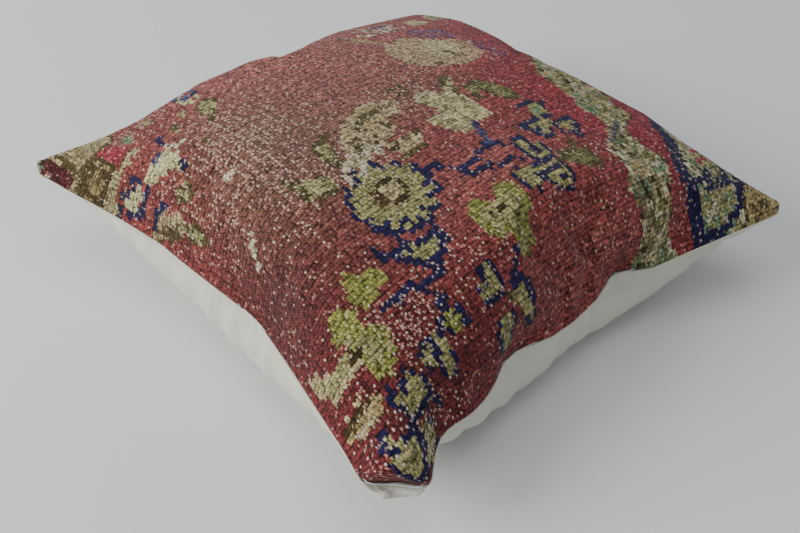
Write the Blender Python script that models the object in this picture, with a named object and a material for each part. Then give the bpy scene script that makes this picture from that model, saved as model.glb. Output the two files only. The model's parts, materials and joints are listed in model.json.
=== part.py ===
"""A square throw pillow: a rug-faced, cotton-backed zip cover round a fibre-filled insert.

Metres, +Z up. The pillow lies on its cotton back, with the middle of the underside at the origin.
The rug face is up, and the zip runs along X under the +Y edge, in the cotton back.
"""

import math

import bmesh
import bpy

# Outline of the filled cover, seen from above: a square whose sides are drawn in between the corners.
HALF_WIDTH = 0.1925
DRAW_IN = 0.031
HEIGHT = 0.136
SEAM_HEIGHT = 0.062
FLAT_HALF = 0.105  # where the underside leaves the floor, at the middle of a side
CROWN_POWER = 2.2
CROWN_ROUND = 0.45

RUG_THICKNESS = 0.004
COTTON_THICKNESS = 0.001
CASING_THICKNESS = 0.0008
GAP = 0.0003

# Insets from the outside of the cover to the outside of what it holds.
EDGE_THREAD_INSET = 0.0053
CASING_INSET = 0.0078
INSERT_THREAD_INSET = 0.0108
FILL_INSET = 0.0140
THREAD_RAISED = 0.0007
CORNER_SHRINK = 0.004  # a stuffed insert never fills the corners of its cover

# The zip lies in a flat band of the back, tilted up towards the +Y edge.
ZIP_Y = 0.1496
ZIP_Z = 0.028
ZIP_TILT = math.radians(55)
ZIP_HALF_LENGTH = 0.138
ZIP_OPENING_END = 0.140
ZIP_CLOSED_END = 0.148
FOLD_FROM_CENTRE = 0.0055
FOLD_CLOSED = 0.0007
BAND_HALF = 0.013

TAPE_INNER, TAPE_OUTER = 0.0006, 0.012
TAPE_TOP, TAPE_THICKNESS = -0.0014, 0.0006
COIL_INNER, COIL_OUTER = 0.0006, 0.0026
COIL_BOTTOM, COIL_TOP = -0.0011, 0.0009
STITCH_FROM_CENTRE = 0.0085
STITCH_RADIUS = 0.00025
THREAD_RADIUS = 0.0004

SLIDER_X = -0.130
SLIDER_HALF_WIDTH, SLIDER_HALF_LENGTH = 0.0042, 0.0045
SLIDER_TOP, SLIDER_PLATE = 0.0022, 0.0010
SLIDER_FLANGE_INNER = 0.0030
SLIDER_FLANGE_BOTTOM = -0.0010
SLIDER_WEB_HALF = 0.0003
SLIDER_BACK_TOP = -0.0023
BAIL_HALF_WIDTH, BAIL_HALF_SPAN, BAIL_THICKNESS, BAIL_TOP = 0.0009, 0.0032, 0.0009, 0.0054

PIVOT_HEIGHT = 0.0034
PULL_BAR_RADIUS = 0.0005
PULL_ARM_INNER, PULL_ARM_OUTER = 0.0013, 0.0024
PULL_ARM_LENGTH = 0.0055
PULL_END = 0.0190
PULL_HALF_WIDTH = 0.0030
PULL_HALF_THICKNESS = 0.0005
PULL_HOLE_RADIUS = 0.0012

TOP_STOP_X, BOTTOM_STOP_X = -0.1366, 0.1340
STOP_HALF_LENGTH = 0.0011
STOP_TOP = 0.0016

COVER_SIDES = (0.2, 0.4, 0.6, 0.778, 0.822, 0.88, 0.94, 1.0)
INSERT_SIDES = (0.25, 0.5, 0.72, 0.86, 0.95, 1.0)


def clear_scene():
    for obj in list(bpy.data.objects):
        bpy.data.objects.remove(obj)


def material(name, colour, roughness, metallic=0.0):
    made = bpy.data.materials.new(name)
    made.use_nodes = True
    shader = made.node_tree.nodes["Principled BSDF"]
    shader.inputs["Base Color"].default_value = (*colour, 1.0)
    shader.inputs["Roughness"].default_value = roughness
    shader.inputs["Metallic"].default_value = metallic
    return made


def place(name, mesh_or_curve, look, location=(0, 0, 0), rotation=(0, 0, 0), parent=None):
    obj = bpy.data.objects.new(name, mesh_or_curve)
    mesh_or_curve.materials.append(look)
    obj.location = location
    obj.rotation_euler = rotation
    obj.parent = parent
    bpy.context.scene.collection.objects.link(obj)
    return obj


# ---------------------------------------------------------------- the shape of the filled cover


def outline(along):
    """Distance from the middle to a side, at a point this far along the side."""
    return HALF_WIDTH - DRAW_IN * (1 - min(1.0, abs(along) / HALF_WIDTH) ** 2)


def in_outline(u, v):
    """(x, y) of a point given as shares of the drawn-in square, each from -1 to 1."""
    x, y = u * HALF_WIDTH, v * HALF_WIDTH
    for _ in range(6):
        x, y = u * outline(y), v * outline(x)
    return x, y


def top_point(u, v):
    x, y = in_outline(u, v)
    crown = ((1 - abs(u) ** CROWN_POWER) * (1 - abs(v) ** CROWN_POWER)) ** CROWN_ROUND
    return x, y, SEAM_HEIGHT + (HEIGHT - SEAM_HEIGHT) * crown


def rise(distance, start, end):
    """From 0 at the flat of the underside to 1 at the seam, along a quarter of an ellipse."""
    share = min(1.0, max(0.0, (distance - start) / (end - start)))
    return 1 - math.sqrt(1 - share * share)


def flat_half(along):
    """The flat of the underside is wider towards the corners, as far as the zip's straight run."""
    return FLAT_HALF + (ZIP_OPENING_END - FLAT_HALF) * min(1.0, abs(along) / ZIP_Y) ** 2


def lift(x, y, height):
    """A height of the underside's Y profile, raised towards the two sides that run along Y."""
    side = rise(abs(x), flat_half(y), outline(y))
    return SEAM_HEIGHT * (1 - (1 - side) * (1 - height / SEAM_HEIGHT))


def front_point(u, v):
    """The underside in front of the X axis, where v runs from -1 at the front seam to 0."""
    x, y = in_outline(u, v)
    return x, y, lift(x, y, SEAM_HEIGHT * rise(abs(y), flat_half(x), outline(x)))


def bezier(share, start, control, end):
    return tuple(
        (1 - share) ** 2 * a + 2 * share * (1 - share) * b + share**2 * c
        for a, b, c in zip(start, control, end)
    )


def in_band(across):
    """(y, z) on the flat band that holds the zip, this far across it from the middle of the teeth."""
    return ZIP_Y + across * math.cos(ZIP_TILT), ZIP_Z + across * math.sin(ZIP_TILT)


def raised_row_point(u, y, height):
    x = u * outline(y)
    return x, y, lift(x, y, height)


def rear_point(u, share):
    """The underside behind the X axis, from the flat (share 0) up to the zip's band (share 1)."""
    band_y, band_z = in_band(-BAND_HALF)
    control = (band_y - band_z / math.tan(ZIP_TILT), 0.0)
    return raised_row_point(u, *bezier(share, (FLAT_HALF, 0.0), control, (band_y, band_z)))


def fold_point(u, side):
    """The folded edge of the cotton beside the teeth. Past the zip's ends the two folds close up."""
    x = u * outline(ZIP_Y)
    past = min(1.0, max(0.0, (abs(x) - ZIP_OPENING_END) / (ZIP_CLOSED_END - ZIP_OPENING_END)))
    across = FOLD_FROM_CENTRE + (FOLD_CLOSED - FOLD_FROM_CENTRE) * past
    return raised_row_point(u, *in_band(side * across))


def strip_point(u, share):
    """The narrow piece of the back, from the zip's band (share 0) up to the +Y seam (share 1)."""
    start = in_band(BAND_HALF)
    x = u * HALF_WIDTH
    for _ in range(6):
        end = (outline(x), SEAM_HEIGHT)
        reach = math.dist(start, end) / 2
        control = (start[0] + reach * math.cos(ZIP_TILT), start[1] + reach * math.sin(ZIP_TILT))
        y, height = bezier(share, start, control, end)
        x = u * outline(y)
    return x, y, lift(x, y, height)


def nested(point, inset, shrink=0.0):
    """The same point on a surface that lies this far inside the cover, and further in at the corners."""
    x, y, z = point
    corner = (abs(x) * abs(y) / HALF_WIDTH**2) ** 2
    share = (HALF_WIDTH - inset - shrink * corner) / HALF_WIDTH
    room = HEIGHT - SEAM_HEIGHT if z > SEAM_HEIGHT else SEAM_HEIGHT
    return x * share, y * share, SEAM_HEIGHT + (z - SEAM_HEIGHT) * (room - inset) / room


def mirrored(shares):
    return [-s for s in reversed(shares)] + [0.0] + list(shares)


def top_rows(shares):
    return [lambda u, v=v: top_point(u, v) for v in mirrored(shares)]


def main_rows():
    """Rows of the wide piece of the back, from the front seam up to the zip's band."""
    rows = [lambda u, v=v: front_point(u, v) for v in (-1.0, -0.95, -0.88, -0.78, -0.65, -0.35, 0.0)]
    rows += [lambda u, s=s: rear_point(u, s) for s in (0.0, 0.35, 0.7, 1.0)]
    return rows


def strip_rows():
    """Rows of the narrow piece, from the zip's band up to the seam."""
    return [lambda u, s=s: strip_point(u, s) for s in (0.0, 0.35, 0.7, 0.9, 1.0)]


# ---------------------------------------------------------------- cloth pieces


def add_sheet(shape, columns, rows, facing_up, inset, shrink):
    """A grid whose vertices are moved onto the points row(u). Its corner faces are creased from the tip."""
    last_column, last_row = len(columns) - 1, len(rows) - 1
    made = bmesh.ops.create_grid(shape, x_segments=last_column, y_segments=last_row, size=0.5)["verts"]
    for vertex in made:
        column = round((vertex.co.x + 0.5) * last_column)
        row = round((vertex.co.y + 0.5) * last_row)
        vertex.co = nested(rows[row](columns[column]), inset, shrink)
        vertex.co.z += GAP if facing_up else 0.0
    tips = [vertex.link_faces[0] for vertex in made if len(vertex.link_faces) == 1]
    bmesh.ops.triangulate(shape, faces=tips, quad_method="LONG_EDGE")
    return made


def smooth_solid(name, shape, look):
    mesh = mesh_of(name, shape)
    mesh.shade_smooth()
    return place(name, mesh, look)


def cloth(name, columns, rows, facing_up, inset, thickness, shrink, look):
    """An outer and an inner sheet of the same layout, with a narrow wall round their edge."""
    shape = bmesh.new()
    outer = add_sheet(shape, columns, rows, facing_up, inset, shrink)
    inner = add_sheet(shape, columns, rows, facing_up, inset + thickness, shrink)
    facing = dict(zip(outer, inner))
    for edge in [edge for edge in shape.edges if edge.is_boundary and edge.verts[0] in facing]:
        a, b = edge.verts
        shape.faces.new((a, b, facing[b], facing[a]))
    return smooth_solid(name, shape, look)


def make_rug_panel(look):
    cloth("rug_panel", mirrored(COVER_SIDES), top_rows(COVER_SIDES), True, 0.0, RUG_THICKNESS, 0.0, look)


def make_back_panels(look):
    columns = mirrored(COVER_SIDES)
    main = main_rows() + [lambda u: fold_point(u, -1)]
    strip = [lambda u: fold_point(u, 1)] + strip_rows()
    cloth("back_panel_main", columns, main, False, 0.0, COTTON_THICKNESS, 0.0, look)
    cloth("back_panel_strip", columns, strip, False, 0.0, COTTON_THICKNESS, 0.0, look)


def make_insert_casing(look):
    columns = mirrored(INSERT_SIDES)
    above, below = top_rows(INSERT_SIDES), main_rows() + strip_rows()
    for name, rows, facing_up in (("top", above, True), ("bottom", below, False)):
        where = (facing_up, CASING_INSET, CASING_THICKNESS, CORNER_SHRINK)
        cloth(f"insert_casing_{name}", columns, rows, *where, look)


def make_fibre_fill(look):
    """The stuffing as one closed body: an upper and a lower sheet joined round their edge."""
    columns = mirrored(INSERT_SIDES)
    shape = bmesh.new()
    add_sheet(shape, columns, top_rows(INSERT_SIDES), True, FILL_INSET, CORNER_SHRINK)
    add_sheet(shape, columns, main_rows() + strip_rows(), False, FILL_INSET, CORNER_SHRINK)
    bmesh.ops.bridge_loops(shape, edges=[edge for edge in shape.edges if edge.is_boundary])
    smooth_solid("fibre_fill", shape, look)


# ---------------------------------------------------------------- sewing thread


def thread_curve(name, points, radius, closed, look, parent=None):
    curve = bpy.data.curves.new(name, "CURVE")
    curve.dimensions = "3D"
    curve.bevel_depth = radius
    curve.bevel_resolution = 0
    curve.use_fill_caps = not closed
    spline = curve.splines.new("POLY")
    spline.points.add(len(points) - 1)
    for slot, point in zip(spline.points, points):
        slot.co = (*point, 1.0)
    spline.use_cyclic_u = closed
    return place(name, curve, look, parent=parent)


def edge_ring(inset, shrink, height):
    """Points round the pillow just inside its edge seam, one side after another."""
    steps = mirrored(INSERT_SIDES)[:-1]
    ring = [(step, -1.0) for step in steps]
    ring += [(1.0, step) for step in steps]
    ring += [(-step, 1.0) for step in steps]
    ring += [(-1.0, -step) for step in steps]
    flat = [nested((*in_outline(u, v), SEAM_HEIGHT), inset, shrink) for u, v in ring]
    return [(x, y, height) for x, y, _ in flat]


def make_seam_threads(look):
    cover = edge_ring(EDGE_THREAD_INSET, 0.0, SEAM_HEIGHT + THREAD_RAISED)
    insert = edge_ring(INSERT_THREAD_INSET, CORNER_SHRINK, SEAM_HEIGHT + THREAD_RAISED)
    thread_curve("edge_stitching", cover, THREAD_RADIUS, True, look)
    thread_curve("insert_stitching", insert, THREAD_RADIUS, True, look)


# ---------------------------------------------------------------- the zip


def box(shape, low, high):
    """A block between two corners, given as (along, across, out) in the zip's own directions."""
    made = bmesh.ops.create_cube(shape, size=1.0)["verts"]
    for vertex in made:
        vertex.co = [l + (c + 0.5) * (h - l) for c, l, h in zip(vertex.co, low, high)]
    return made


def mesh_of(name, shape):
    """A closed shape as a mesh, with its faces pointing out."""
    bmesh.ops.recalc_face_normals(shape, faces=shape.faces)
    if shape.calc_volume(signed=True) < 0:
        bmesh.ops.reverse_faces(shape, faces=shape.faces)
    mesh = bpy.data.meshes.new(name)
    shape.to_mesh(mesh)
    shape.free()
    return mesh


def block(name, low, high, look, parent):
    shape = bmesh.new()
    box(shape, low, high)
    return place(name, mesh_of(name, shape), look, parent=parent)


def make_zip_frame():
    """An empty at the middle of the teeth. Its X runs along the zip, Y across it and Z out of it."""
    frame = bpy.data.objects.new("zip_frame", None)
    frame.location = (0, ZIP_Y, ZIP_Z)
    frame.rotation_euler = (ZIP_TILT - math.pi, 0, 0)
    bpy.context.scene.collection.objects.link(frame)
    return frame


def make_tapes_and_coils(frame, tape_look, coil_look, thread_look):
    """Side -1 is the one by the narrow strip, and side 1 the one by the wide piece."""
    for side, name in ((1, "main"), (-1, "strip")):
        near, far = sorted((side * TAPE_INNER, side * TAPE_OUTER))
        block(
            f"zip_tape_{name}",
            (-ZIP_HALF_LENGTH, near, TAPE_TOP - TAPE_THICKNESS),
            (ZIP_HALF_LENGTH, far, TAPE_TOP),
            tape_look,
            frame,
        )
        near, far = sorted((side * COIL_INNER, side * COIL_OUTER))
        block(
            f"zip_coil_{name}",
            (-ZIP_HALF_LENGTH, near, COIL_BOTTOM),
            (ZIP_HALF_LENGTH, far, COIL_TOP),
            coil_look,
            frame,
        )
        row = [(end * ZIP_HALF_LENGTH, side * STITCH_FROM_CENTRE, GAP + STITCH_RADIUS) for end in (-1, 1)]
        thread_curve(f"zip_stitching_{name}", row, STITCH_RADIUS, False, thread_look, frame)


def make_stops(frame, look):
    """Two small clips over the ends of the coils, and one bridge across both at the far end."""
    low_edge, high_edge = COIL_INNER - GAP / 2, COIL_OUTER + GAP
    for side, name in ((1, "main"), (-1, "strip")):
        near, far = sorted((side * low_edge, side * high_edge))
        block(
            f"zip_top_stop_{name}",
            (TOP_STOP_X - STOP_HALF_LENGTH, near, COIL_TOP + GAP),
            (TOP_STOP_X + STOP_HALF_LENGTH, far, STOP_TOP),
            look,
            frame,
        )
    block(
        "zip_bottom_stop",
        (BOTTOM_STOP_X - STOP_HALF_LENGTH, -high_edge, COIL_TOP + GAP),
        (BOTTOM_STOP_X + STOP_HALF_LENGTH, high_edge, STOP_TOP),
        look,
        frame,
    )


def union(target, tools):
    """Joins overlapping blocks into one solid. The tools are helpers and aren't part of the object."""
    for tool in tools:
        tool.hide_render = True
        tool.display_type = "WIRE"
        join = target.modifiers.new("Join", "BOOLEAN")
        join.operation = "UNION"
        join.object = tool


def bail_mesh(name):
    """The bridge on the slider: a half ring along the zip, with straight feet in the plate."""
    shape = bmesh.new()
    inner_span, inner_top = BAIL_HALF_SPAN - BAIL_THICKNESS, BAIL_TOP - BAIL_THICKNESS
    foot = SLIDER_TOP - SLIDER_PLATE / 2
    outer, inner = [], []
    steps = 8
    for step in range(steps + 1):
        angle = math.pi * step / steps
        outer.append((BAIL_HALF_SPAN * math.cos(angle), SLIDER_TOP + (BAIL_TOP - SLIDER_TOP) * math.sin(angle)))
        inner.append((inner_span * math.cos(angle), SLIDER_TOP + (inner_top - SLIDER_TOP) * math.sin(angle)))
    ring = [(outer[0][0], foot)] + outer + [(outer[-1][0], foot), (inner[-1][0], foot)]
    ring += inner[::-1] + [(inner[0][0], foot)]
    corners = [shape.verts.new((x, -BAIL_HALF_WIDTH, z)) for x, z in ring]
    side = shape.faces.new(corners)
    grown = bmesh.ops.extrude_face_region(shape, geom=[side])["geom"]
    moved = [item for item in grown if isinstance(item, bmesh.types.BMVert)]
    bmesh.ops.translate(shape, verts=moved, vec=(0, 2 * BAIL_HALF_WIDTH, 0))
    return mesh_of(name, shape)


def make_slider(frame, look):
    """Front plate, back plate, the web between them, two flanges over the coils, and the bail."""
    width, length = SLIDER_HALF_WIDTH, SLIDER_HALF_LENGTH
    plate_bottom = SLIDER_TOP - SLIDER_PLATE
    slider = block("zip_slider", (-length, -width, plate_bottom), (length, width, SLIDER_TOP), look, frame)
    slider.location.x = SLIDER_X
    overlap = SLIDER_PLATE / 2
    back_bottom = SLIDER_BACK_TOP - SLIDER_PLATE
    web_low, web_high = SLIDER_BACK_TOP - overlap, plate_bottom + overlap
    parts = [
        ((-length, -width, back_bottom), (length, width, SLIDER_BACK_TOP)),
        ((-length * 0.6, -SLIDER_WEB_HALF, web_low), (length * 0.6, SLIDER_WEB_HALF, web_high)),
        ((-length, -width, SLIDER_FLANGE_BOTTOM), (length, -SLIDER_FLANGE_INNER, web_high)),
        ((-length, SLIDER_FLANGE_INNER, SLIDER_FLANGE_BOTTOM), (length, width, web_high)),
    ]
    tools = [block(f"slider_tool_{i}", low, high, look, frame) for i, (low, high) in enumerate(parts)]
    tools.append(place("slider_tool_bail", bail_mesh("slider_tool_bail"), look, parent=frame))
    for tool in tools:
        tool.location.x = SLIDER_X
    union(slider, tools)
    return slider


def make_pull_tab(frame, look):
    """A bar through the bail, two arms beside it, and a tongue with a round hole. It hangs out."""
    name = "zip_pull_tab"
    thick = PULL_HALF_THICKNESS
    shape = bmesh.new()
    box(shape, (-thick, -PULL_HALF_WIDTH, PULL_ARM_LENGTH - thick), (thick, PULL_HALF_WIDTH, PULL_END))
    tab = place(name, mesh_of(name, shape), look, (SLIDER_X, 0, PIVOT_HEIGHT), parent=frame)
    tools = []
    for side in (-1, 1):
        near, far = sorted((side * PULL_ARM_INNER, side * PULL_ARM_OUTER))
        arm = block(f"pull_tool_arm_{side}", (-thick, near, -thick), (thick, far, PULL_ARM_LENGTH), look, frame)
        tools.append(arm)
    reach = (PULL_ARM_INNER + PULL_ARM_OUTER) / 2
    bar = block(
        "pull_tool_bar",
        (-PULL_BAR_RADIUS * 0.9, -reach, -PULL_BAR_RADIUS * 0.9),
        (PULL_BAR_RADIUS * 0.9, reach, PULL_BAR_RADIUS * 0.9),
        look,
        frame,
    )
    tools.append(bar)
    for tool in tools:
        tool.location = tab.location
    union(tab, tools)
    hole_shape = bmesh.new()
    turned = bmesh.ops.create_cone(
        hole_shape, cap_ends=True, segments=16, radius1=PULL_HOLE_RADIUS, radius2=PULL_HOLE_RADIUS, depth=4 * thick
    )["verts"]
    for vertex in turned:
        vertex.co = (vertex.co.z, vertex.co.y, PULL_END - 2.2 * PULL_HOLE_RADIUS - vertex.co.x)
    hole = place("pull_tool_hole", mesh_of("pull_tool_hole", hole_shape), look, tab.location, parent=frame)
    hole.hide_render = True
    hole.display_type = "WIRE"
    cut = tab.modifiers.new("Hole", "BOOLEAN")
    cut.operation = "DIFFERENCE"
    cut.object = hole
    return tab


def build_pillow():
    clear_scene()
    wool = material("wool_rug", (0.30, 0.05, 0.06), 0.95)
    cotton = material("cotton_cover", (0.72, 0.68, 0.58), 0.9)
    thread = material("sewing_thread", (0.78, 0.75, 0.66), 0.8)
    tape = material("zip_tape", (0.70, 0.67, 0.58), 0.85)
    coil = material("zip_coil", (0.76, 0.73, 0.65), 0.45)
    metal = material("zip_metal", (0.62, 0.60, 0.56), 0.35, 1.0)
    casing = material("insert_casing", (0.82, 0.82, 0.80), 0.9)
    fibre = material("fibre_fill", (0.88, 0.88, 0.87), 1.0)
    make_rug_panel(wool)
    make_back_panels(cotton)
    make_seam_threads(thread)
    make_insert_casing(casing)
    make_fibre_fill(fibre)
    frame = make_zip_frame()
    make_tapes_and_coils(frame, tape, coil, thread)
    make_stops(frame, metal)
    make_slider(frame, metal)
    make_pull_tab(frame, metal)


build_pillow()
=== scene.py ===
"""A square throw pillow: knotted wool rug front, cotton back with a zip, and a stuffed insert."""

import json
import math

import bmesh
import bpy
import numpy as np
from mathutils import Matrix, Vector

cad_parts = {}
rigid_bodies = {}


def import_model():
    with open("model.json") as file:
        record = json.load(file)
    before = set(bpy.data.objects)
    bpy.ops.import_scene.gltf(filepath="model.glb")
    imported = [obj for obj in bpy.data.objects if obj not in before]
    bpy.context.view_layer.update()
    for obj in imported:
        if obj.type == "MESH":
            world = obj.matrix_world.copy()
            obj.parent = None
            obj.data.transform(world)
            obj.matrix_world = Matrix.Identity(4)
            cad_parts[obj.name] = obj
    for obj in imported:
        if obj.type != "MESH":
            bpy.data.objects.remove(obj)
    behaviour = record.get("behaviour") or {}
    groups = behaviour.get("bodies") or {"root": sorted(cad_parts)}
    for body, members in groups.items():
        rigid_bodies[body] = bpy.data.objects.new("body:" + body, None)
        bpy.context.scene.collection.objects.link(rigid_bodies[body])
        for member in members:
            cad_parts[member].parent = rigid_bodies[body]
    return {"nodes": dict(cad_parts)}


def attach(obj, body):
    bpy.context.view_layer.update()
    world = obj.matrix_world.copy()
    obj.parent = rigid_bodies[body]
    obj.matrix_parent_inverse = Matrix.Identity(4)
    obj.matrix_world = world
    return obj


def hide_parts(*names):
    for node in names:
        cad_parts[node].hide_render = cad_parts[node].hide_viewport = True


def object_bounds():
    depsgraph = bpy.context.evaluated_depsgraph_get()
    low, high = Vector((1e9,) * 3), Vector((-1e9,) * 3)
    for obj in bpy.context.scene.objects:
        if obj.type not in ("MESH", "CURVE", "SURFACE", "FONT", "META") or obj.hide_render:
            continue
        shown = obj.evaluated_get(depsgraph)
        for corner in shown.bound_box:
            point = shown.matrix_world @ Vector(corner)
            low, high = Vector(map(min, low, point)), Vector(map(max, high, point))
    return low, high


for left_over in list(bpy.data.objects):
    bpy.data.objects.remove(left_over)
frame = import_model()
cad_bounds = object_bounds()

# ---------------------------------------------------------------- the stuffed cover
# Two 40 cm squares, stiff rug above and limp cotton below, are sewn face to face round their
# edge, turned and stuffed. The insert's push rounds the cover, draws its sides in and leaves
# the four corners standing out as ears. Both panels below take their shape from here.

CUT = 0.400
CLOTH_STEPS = 56
SETTLE_FRAMES = 40
RUG_STIFFNESS = {"tension": 60, "compression": 60, "shear": 20, "bending": 2.0}
COTTON_STIFFNESS = {"tension": 10, "compression": 8, "shear": 1, "bending": 0.02}
SEAM_SHARE = 0.6  # how much of the rug's stiffness the doubled seam has
INSERT_PUSH = 5.0
START_HEIGHT, START_CROWN = 0.05, 0.004


def sewn_blank():
    """The two squares as one flat bag, and each vertex's place on the cut, both from -1 to 1."""
    shape = bmesh.new()
    for side in (1, -1):
        made = bmesh.ops.create_grid(
            shape, x_segments=CLOTH_STEPS, y_segments=CLOTH_STEPS, size=CUT / 2
        )["verts"]
        for vertex in made:
            crown = (1 - (2 * vertex.co.x / CUT) ** 2) * (1 - (2 * vertex.co.y / CUT) ** 2)
            vertex.co.z = START_HEIGHT + side * START_CROWN * max(crown, 0)
        if side < 0:
            lower = set(made)
            facing = [face for face in shape.faces if face.verts[0] in lower]
            bmesh.ops.reverse_faces(shape, faces=facing)
    bmesh.ops.remove_doubles(shape, verts=shape.verts, dist=1e-5)
    blank = bpy.data.objects.new("sewn_blank", mesh_from(shape, "sewn_blank"))
    bpy.context.collection.objects.link(blank)
    return blank


def mesh_from(shape, name):
    """Writes the shape to a new mesh and frees it."""
    mesh = bpy.data.meshes.new(name)
    shape.to_mesh(mesh)
    shape.free()
    return mesh


def points_of(mesh):
    flat = np.empty(len(mesh.vertices) * 3)
    mesh.vertices.foreach_get("co", flat)
    return flat.reshape(-1, 3)


def stuffed(blank):
    """The blank's vertices after the insert has filled it on a table."""
    start = points_of(blank.data)
    rug = blank.vertex_groups.new(name="rug")
    for index, (x, y, z) in enumerate(start):
        on_seam = CUT / 2 - max(abs(x), abs(y)) < 1e-6
        share = SEAM_SHARE if on_seam else float(z > START_HEIGHT)
        if share:
            rug.add([index], share, "REPLACE")
    shape = bmesh.new()
    bmesh.ops.create_grid(shape, x_segments=1, y_segments=1, size=1.0)
    table = bpy.data.objects.new("ground", mesh_from(shape, "ground"))
    bpy.context.collection.objects.link(table)
    table.modifiers.new("Collision", "COLLISION")
    table.collision.thickness_outer = 0.001
    table.collision.cloth_friction = 5
    sewn = blank.modifiers.new("Cloth", "CLOTH")
    cloth = sewn.settings
    cloth.quality = 6
    cloth.mass = 0.005
    cloth.air_damping = 2.0
    for kind, value in COTTON_STIFFNESS.items():
        setattr(cloth, f"{kind}_stiffness", value)
        setattr(cloth, f"{kind}_stiffness_max", RUG_STIFFNESS[kind])
    cloth.tension_damping = cloth.compression_damping = cloth.shear_damping = 5
    cloth.bending_damping = 0.5
    cloth.vertex_group_bending = "rug"
    cloth.vertex_group_structural_stiffness = "rug"
    cloth.vertex_group_shear_stiffness = "rug"
    cloth.use_pressure = True
    cloth.uniform_pressure_force = INSERT_PUSH
    sewn.collision_settings.distance_min = 0.001
    sewn.collision_settings.collision_quality = 2
    scene = bpy.context.scene
    scene.frame_start = sewn.point_cache.frame_start = 1
    scene.frame_end = sewn.point_cache.frame_end = SETTLE_FRAMES
    for number in range(1, SETTLE_FRAMES + 1):
        scene.frame_set(number)
    graph = bpy.context.evaluated_depsgraph_get()
    settled = points_of(blank.evaluated_get(graph).data)
    for helper in (blank, table):
        bpy.data.objects.remove(helper)
    scene.frame_set(1)
    return start, settled


def panel_grid(start, settled, upper):
    """One panel's settled points, as rows along +Y of points along +X."""
    height = start[:, 2] - START_HEIGHT
    mine = height > -1e-6 if upper else height < 1e-6
    column, row = np.round((start[mine, :2] / CUT + 0.5) * CLOTH_STEPS).astype(int).T
    grid = np.zeros((CLOTH_STEPS + 1, CLOTH_STEPS + 1, 3))
    grid[row, column] = settled[mine]
    return grid


start, settled = stuffed(sewn_blank())
low, high = settled.min(axis=0), settled.max(axis=0)
box_low, box_high = np.array(cad_bounds[0]), np.array(cad_bounds[1])
to_size = (box_high - box_low) / (high - low)
settled = box_low + (settled - low) * to_size
rug_grid = panel_grid(start, settled, True)
cotton_grid = panel_grid(start, settled, False)

share = np.linspace(-1, 1, CLOTH_STEPS + 1)
across_x, across_y = np.meshgrid(share, share)


def ramp(value, low, high):
    """0 below low and 1 above high, with a smooth step between."""
    part = np.clip((value - low) / (high - low), 0, 1)
    return part * part * (3 - 2 * part)


# A pillow that has been sat against isn't even: the front corner hangs lower, the front edge
# sags a little, the right side is fuller, and the limp cotton swells just below the seam.
FRONT_CORNER_DROP, LEFT_CORNER_LIFT = 0.016, 0.0045
FRONT_EDGE_DROP, FRONT_EDGE_IN = 0.010, 0.0055
RIGHT_EDGE_OUT, BACK_EDGE_OUT = 0.009, 0.0035
COTTON_SWELL = 0.0085

near_front, near_back = ((1 - across_y) / 2) ** 4, ((1 + across_y) / 2) ** 4
near_left, near_right = ((1 - across_x) / 2) ** 4, ((1 + across_x) / 2) ** 4
along_x, along_y = 1 - across_x**2, 1 - across_y**2
for grid in (rug_grid, cotton_grid):
    grid[..., 2] -= FRONT_CORNER_DROP * near_front * near_left
    grid[..., 2] += LEFT_CORNER_LIFT * near_back * near_left
    grid[..., 2] -= FRONT_EDGE_DROP * near_front * along_x
    grid[..., 1] += FRONT_EDGE_IN * near_front * along_x
    grid[..., 1] += BACK_EDGE_OUT * near_back * along_x
    grid[..., 0] += RIGHT_EDGE_OUT * near_right * along_y
edge_share = np.maximum(abs(across_x), abs(across_y))
other_share = np.minimum(abs(across_x), abs(across_y))
swell = COTTON_SWELL * np.exp(-(((edge_share - 0.85) / 0.12) ** 2)) * (1 - other_share**4)
swell = swell * ramp(1 - edge_share, 0.0, 0.06)
faces_x = abs(across_x) > abs(across_y)
cotton_grid[..., 0] += swell * np.where(faces_x, np.sign(across_x), 0)
cotton_grid[..., 1] += swell * np.where(faces_x, 0, np.sign(across_y))


def evened(grid, passes, axis):
    """The grid with its ripples along one axis smoothed; the two ends stay."""
    grid = np.moveaxis(grid.copy(), axis, 0)
    for _ in range(passes):
        grid[1:-1] = (grid[:-2] + 2 * grid[1:-1] + grid[2:]) / 4
    return np.moveaxis(grid, 0, axis)


# The cotton hangs smoother than the sprung cloth, and the left seam runs nearly straight.
smooth = ramp(1 - edge_share, 0.0, 0.10)[..., None] * 0.85
cotton_grid += smooth * (evened(evened(cotton_grid, 7, 0), 7, 1) - cotton_grid)
straight = (ramp(-across_x, 0.40, 0.95) * ramp(1 - abs(across_y), 0.04, 0.25) * 0.85)[..., None]
for grid in (rug_grid, cotton_grid):
    grid += straight * (evened(grid, 60, 0) - grid)


# The corners' tips are tucked back inside the cover; the front one ends in a short flat edge
# with a fold at its right. The cover's underside lies flat on what it rests on.
def blunt(grid, side_x, side_y, depth):
    """Presses a corner's tip back along the diagonal."""
    from_tip = (2 - side_x * across_x - side_y * across_y) * CUT / 2
    past = np.maximum(depth - from_tip, 0)
    past = past**2 / (past + 0.12 * depth)
    grid[..., 0] -= side_x * past * BLUNT_SHARE
    grid[..., 1] -= side_y * past * BLUNT_SHARE
    grid[..., 2] -= past * BLUNT_SAG


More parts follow.
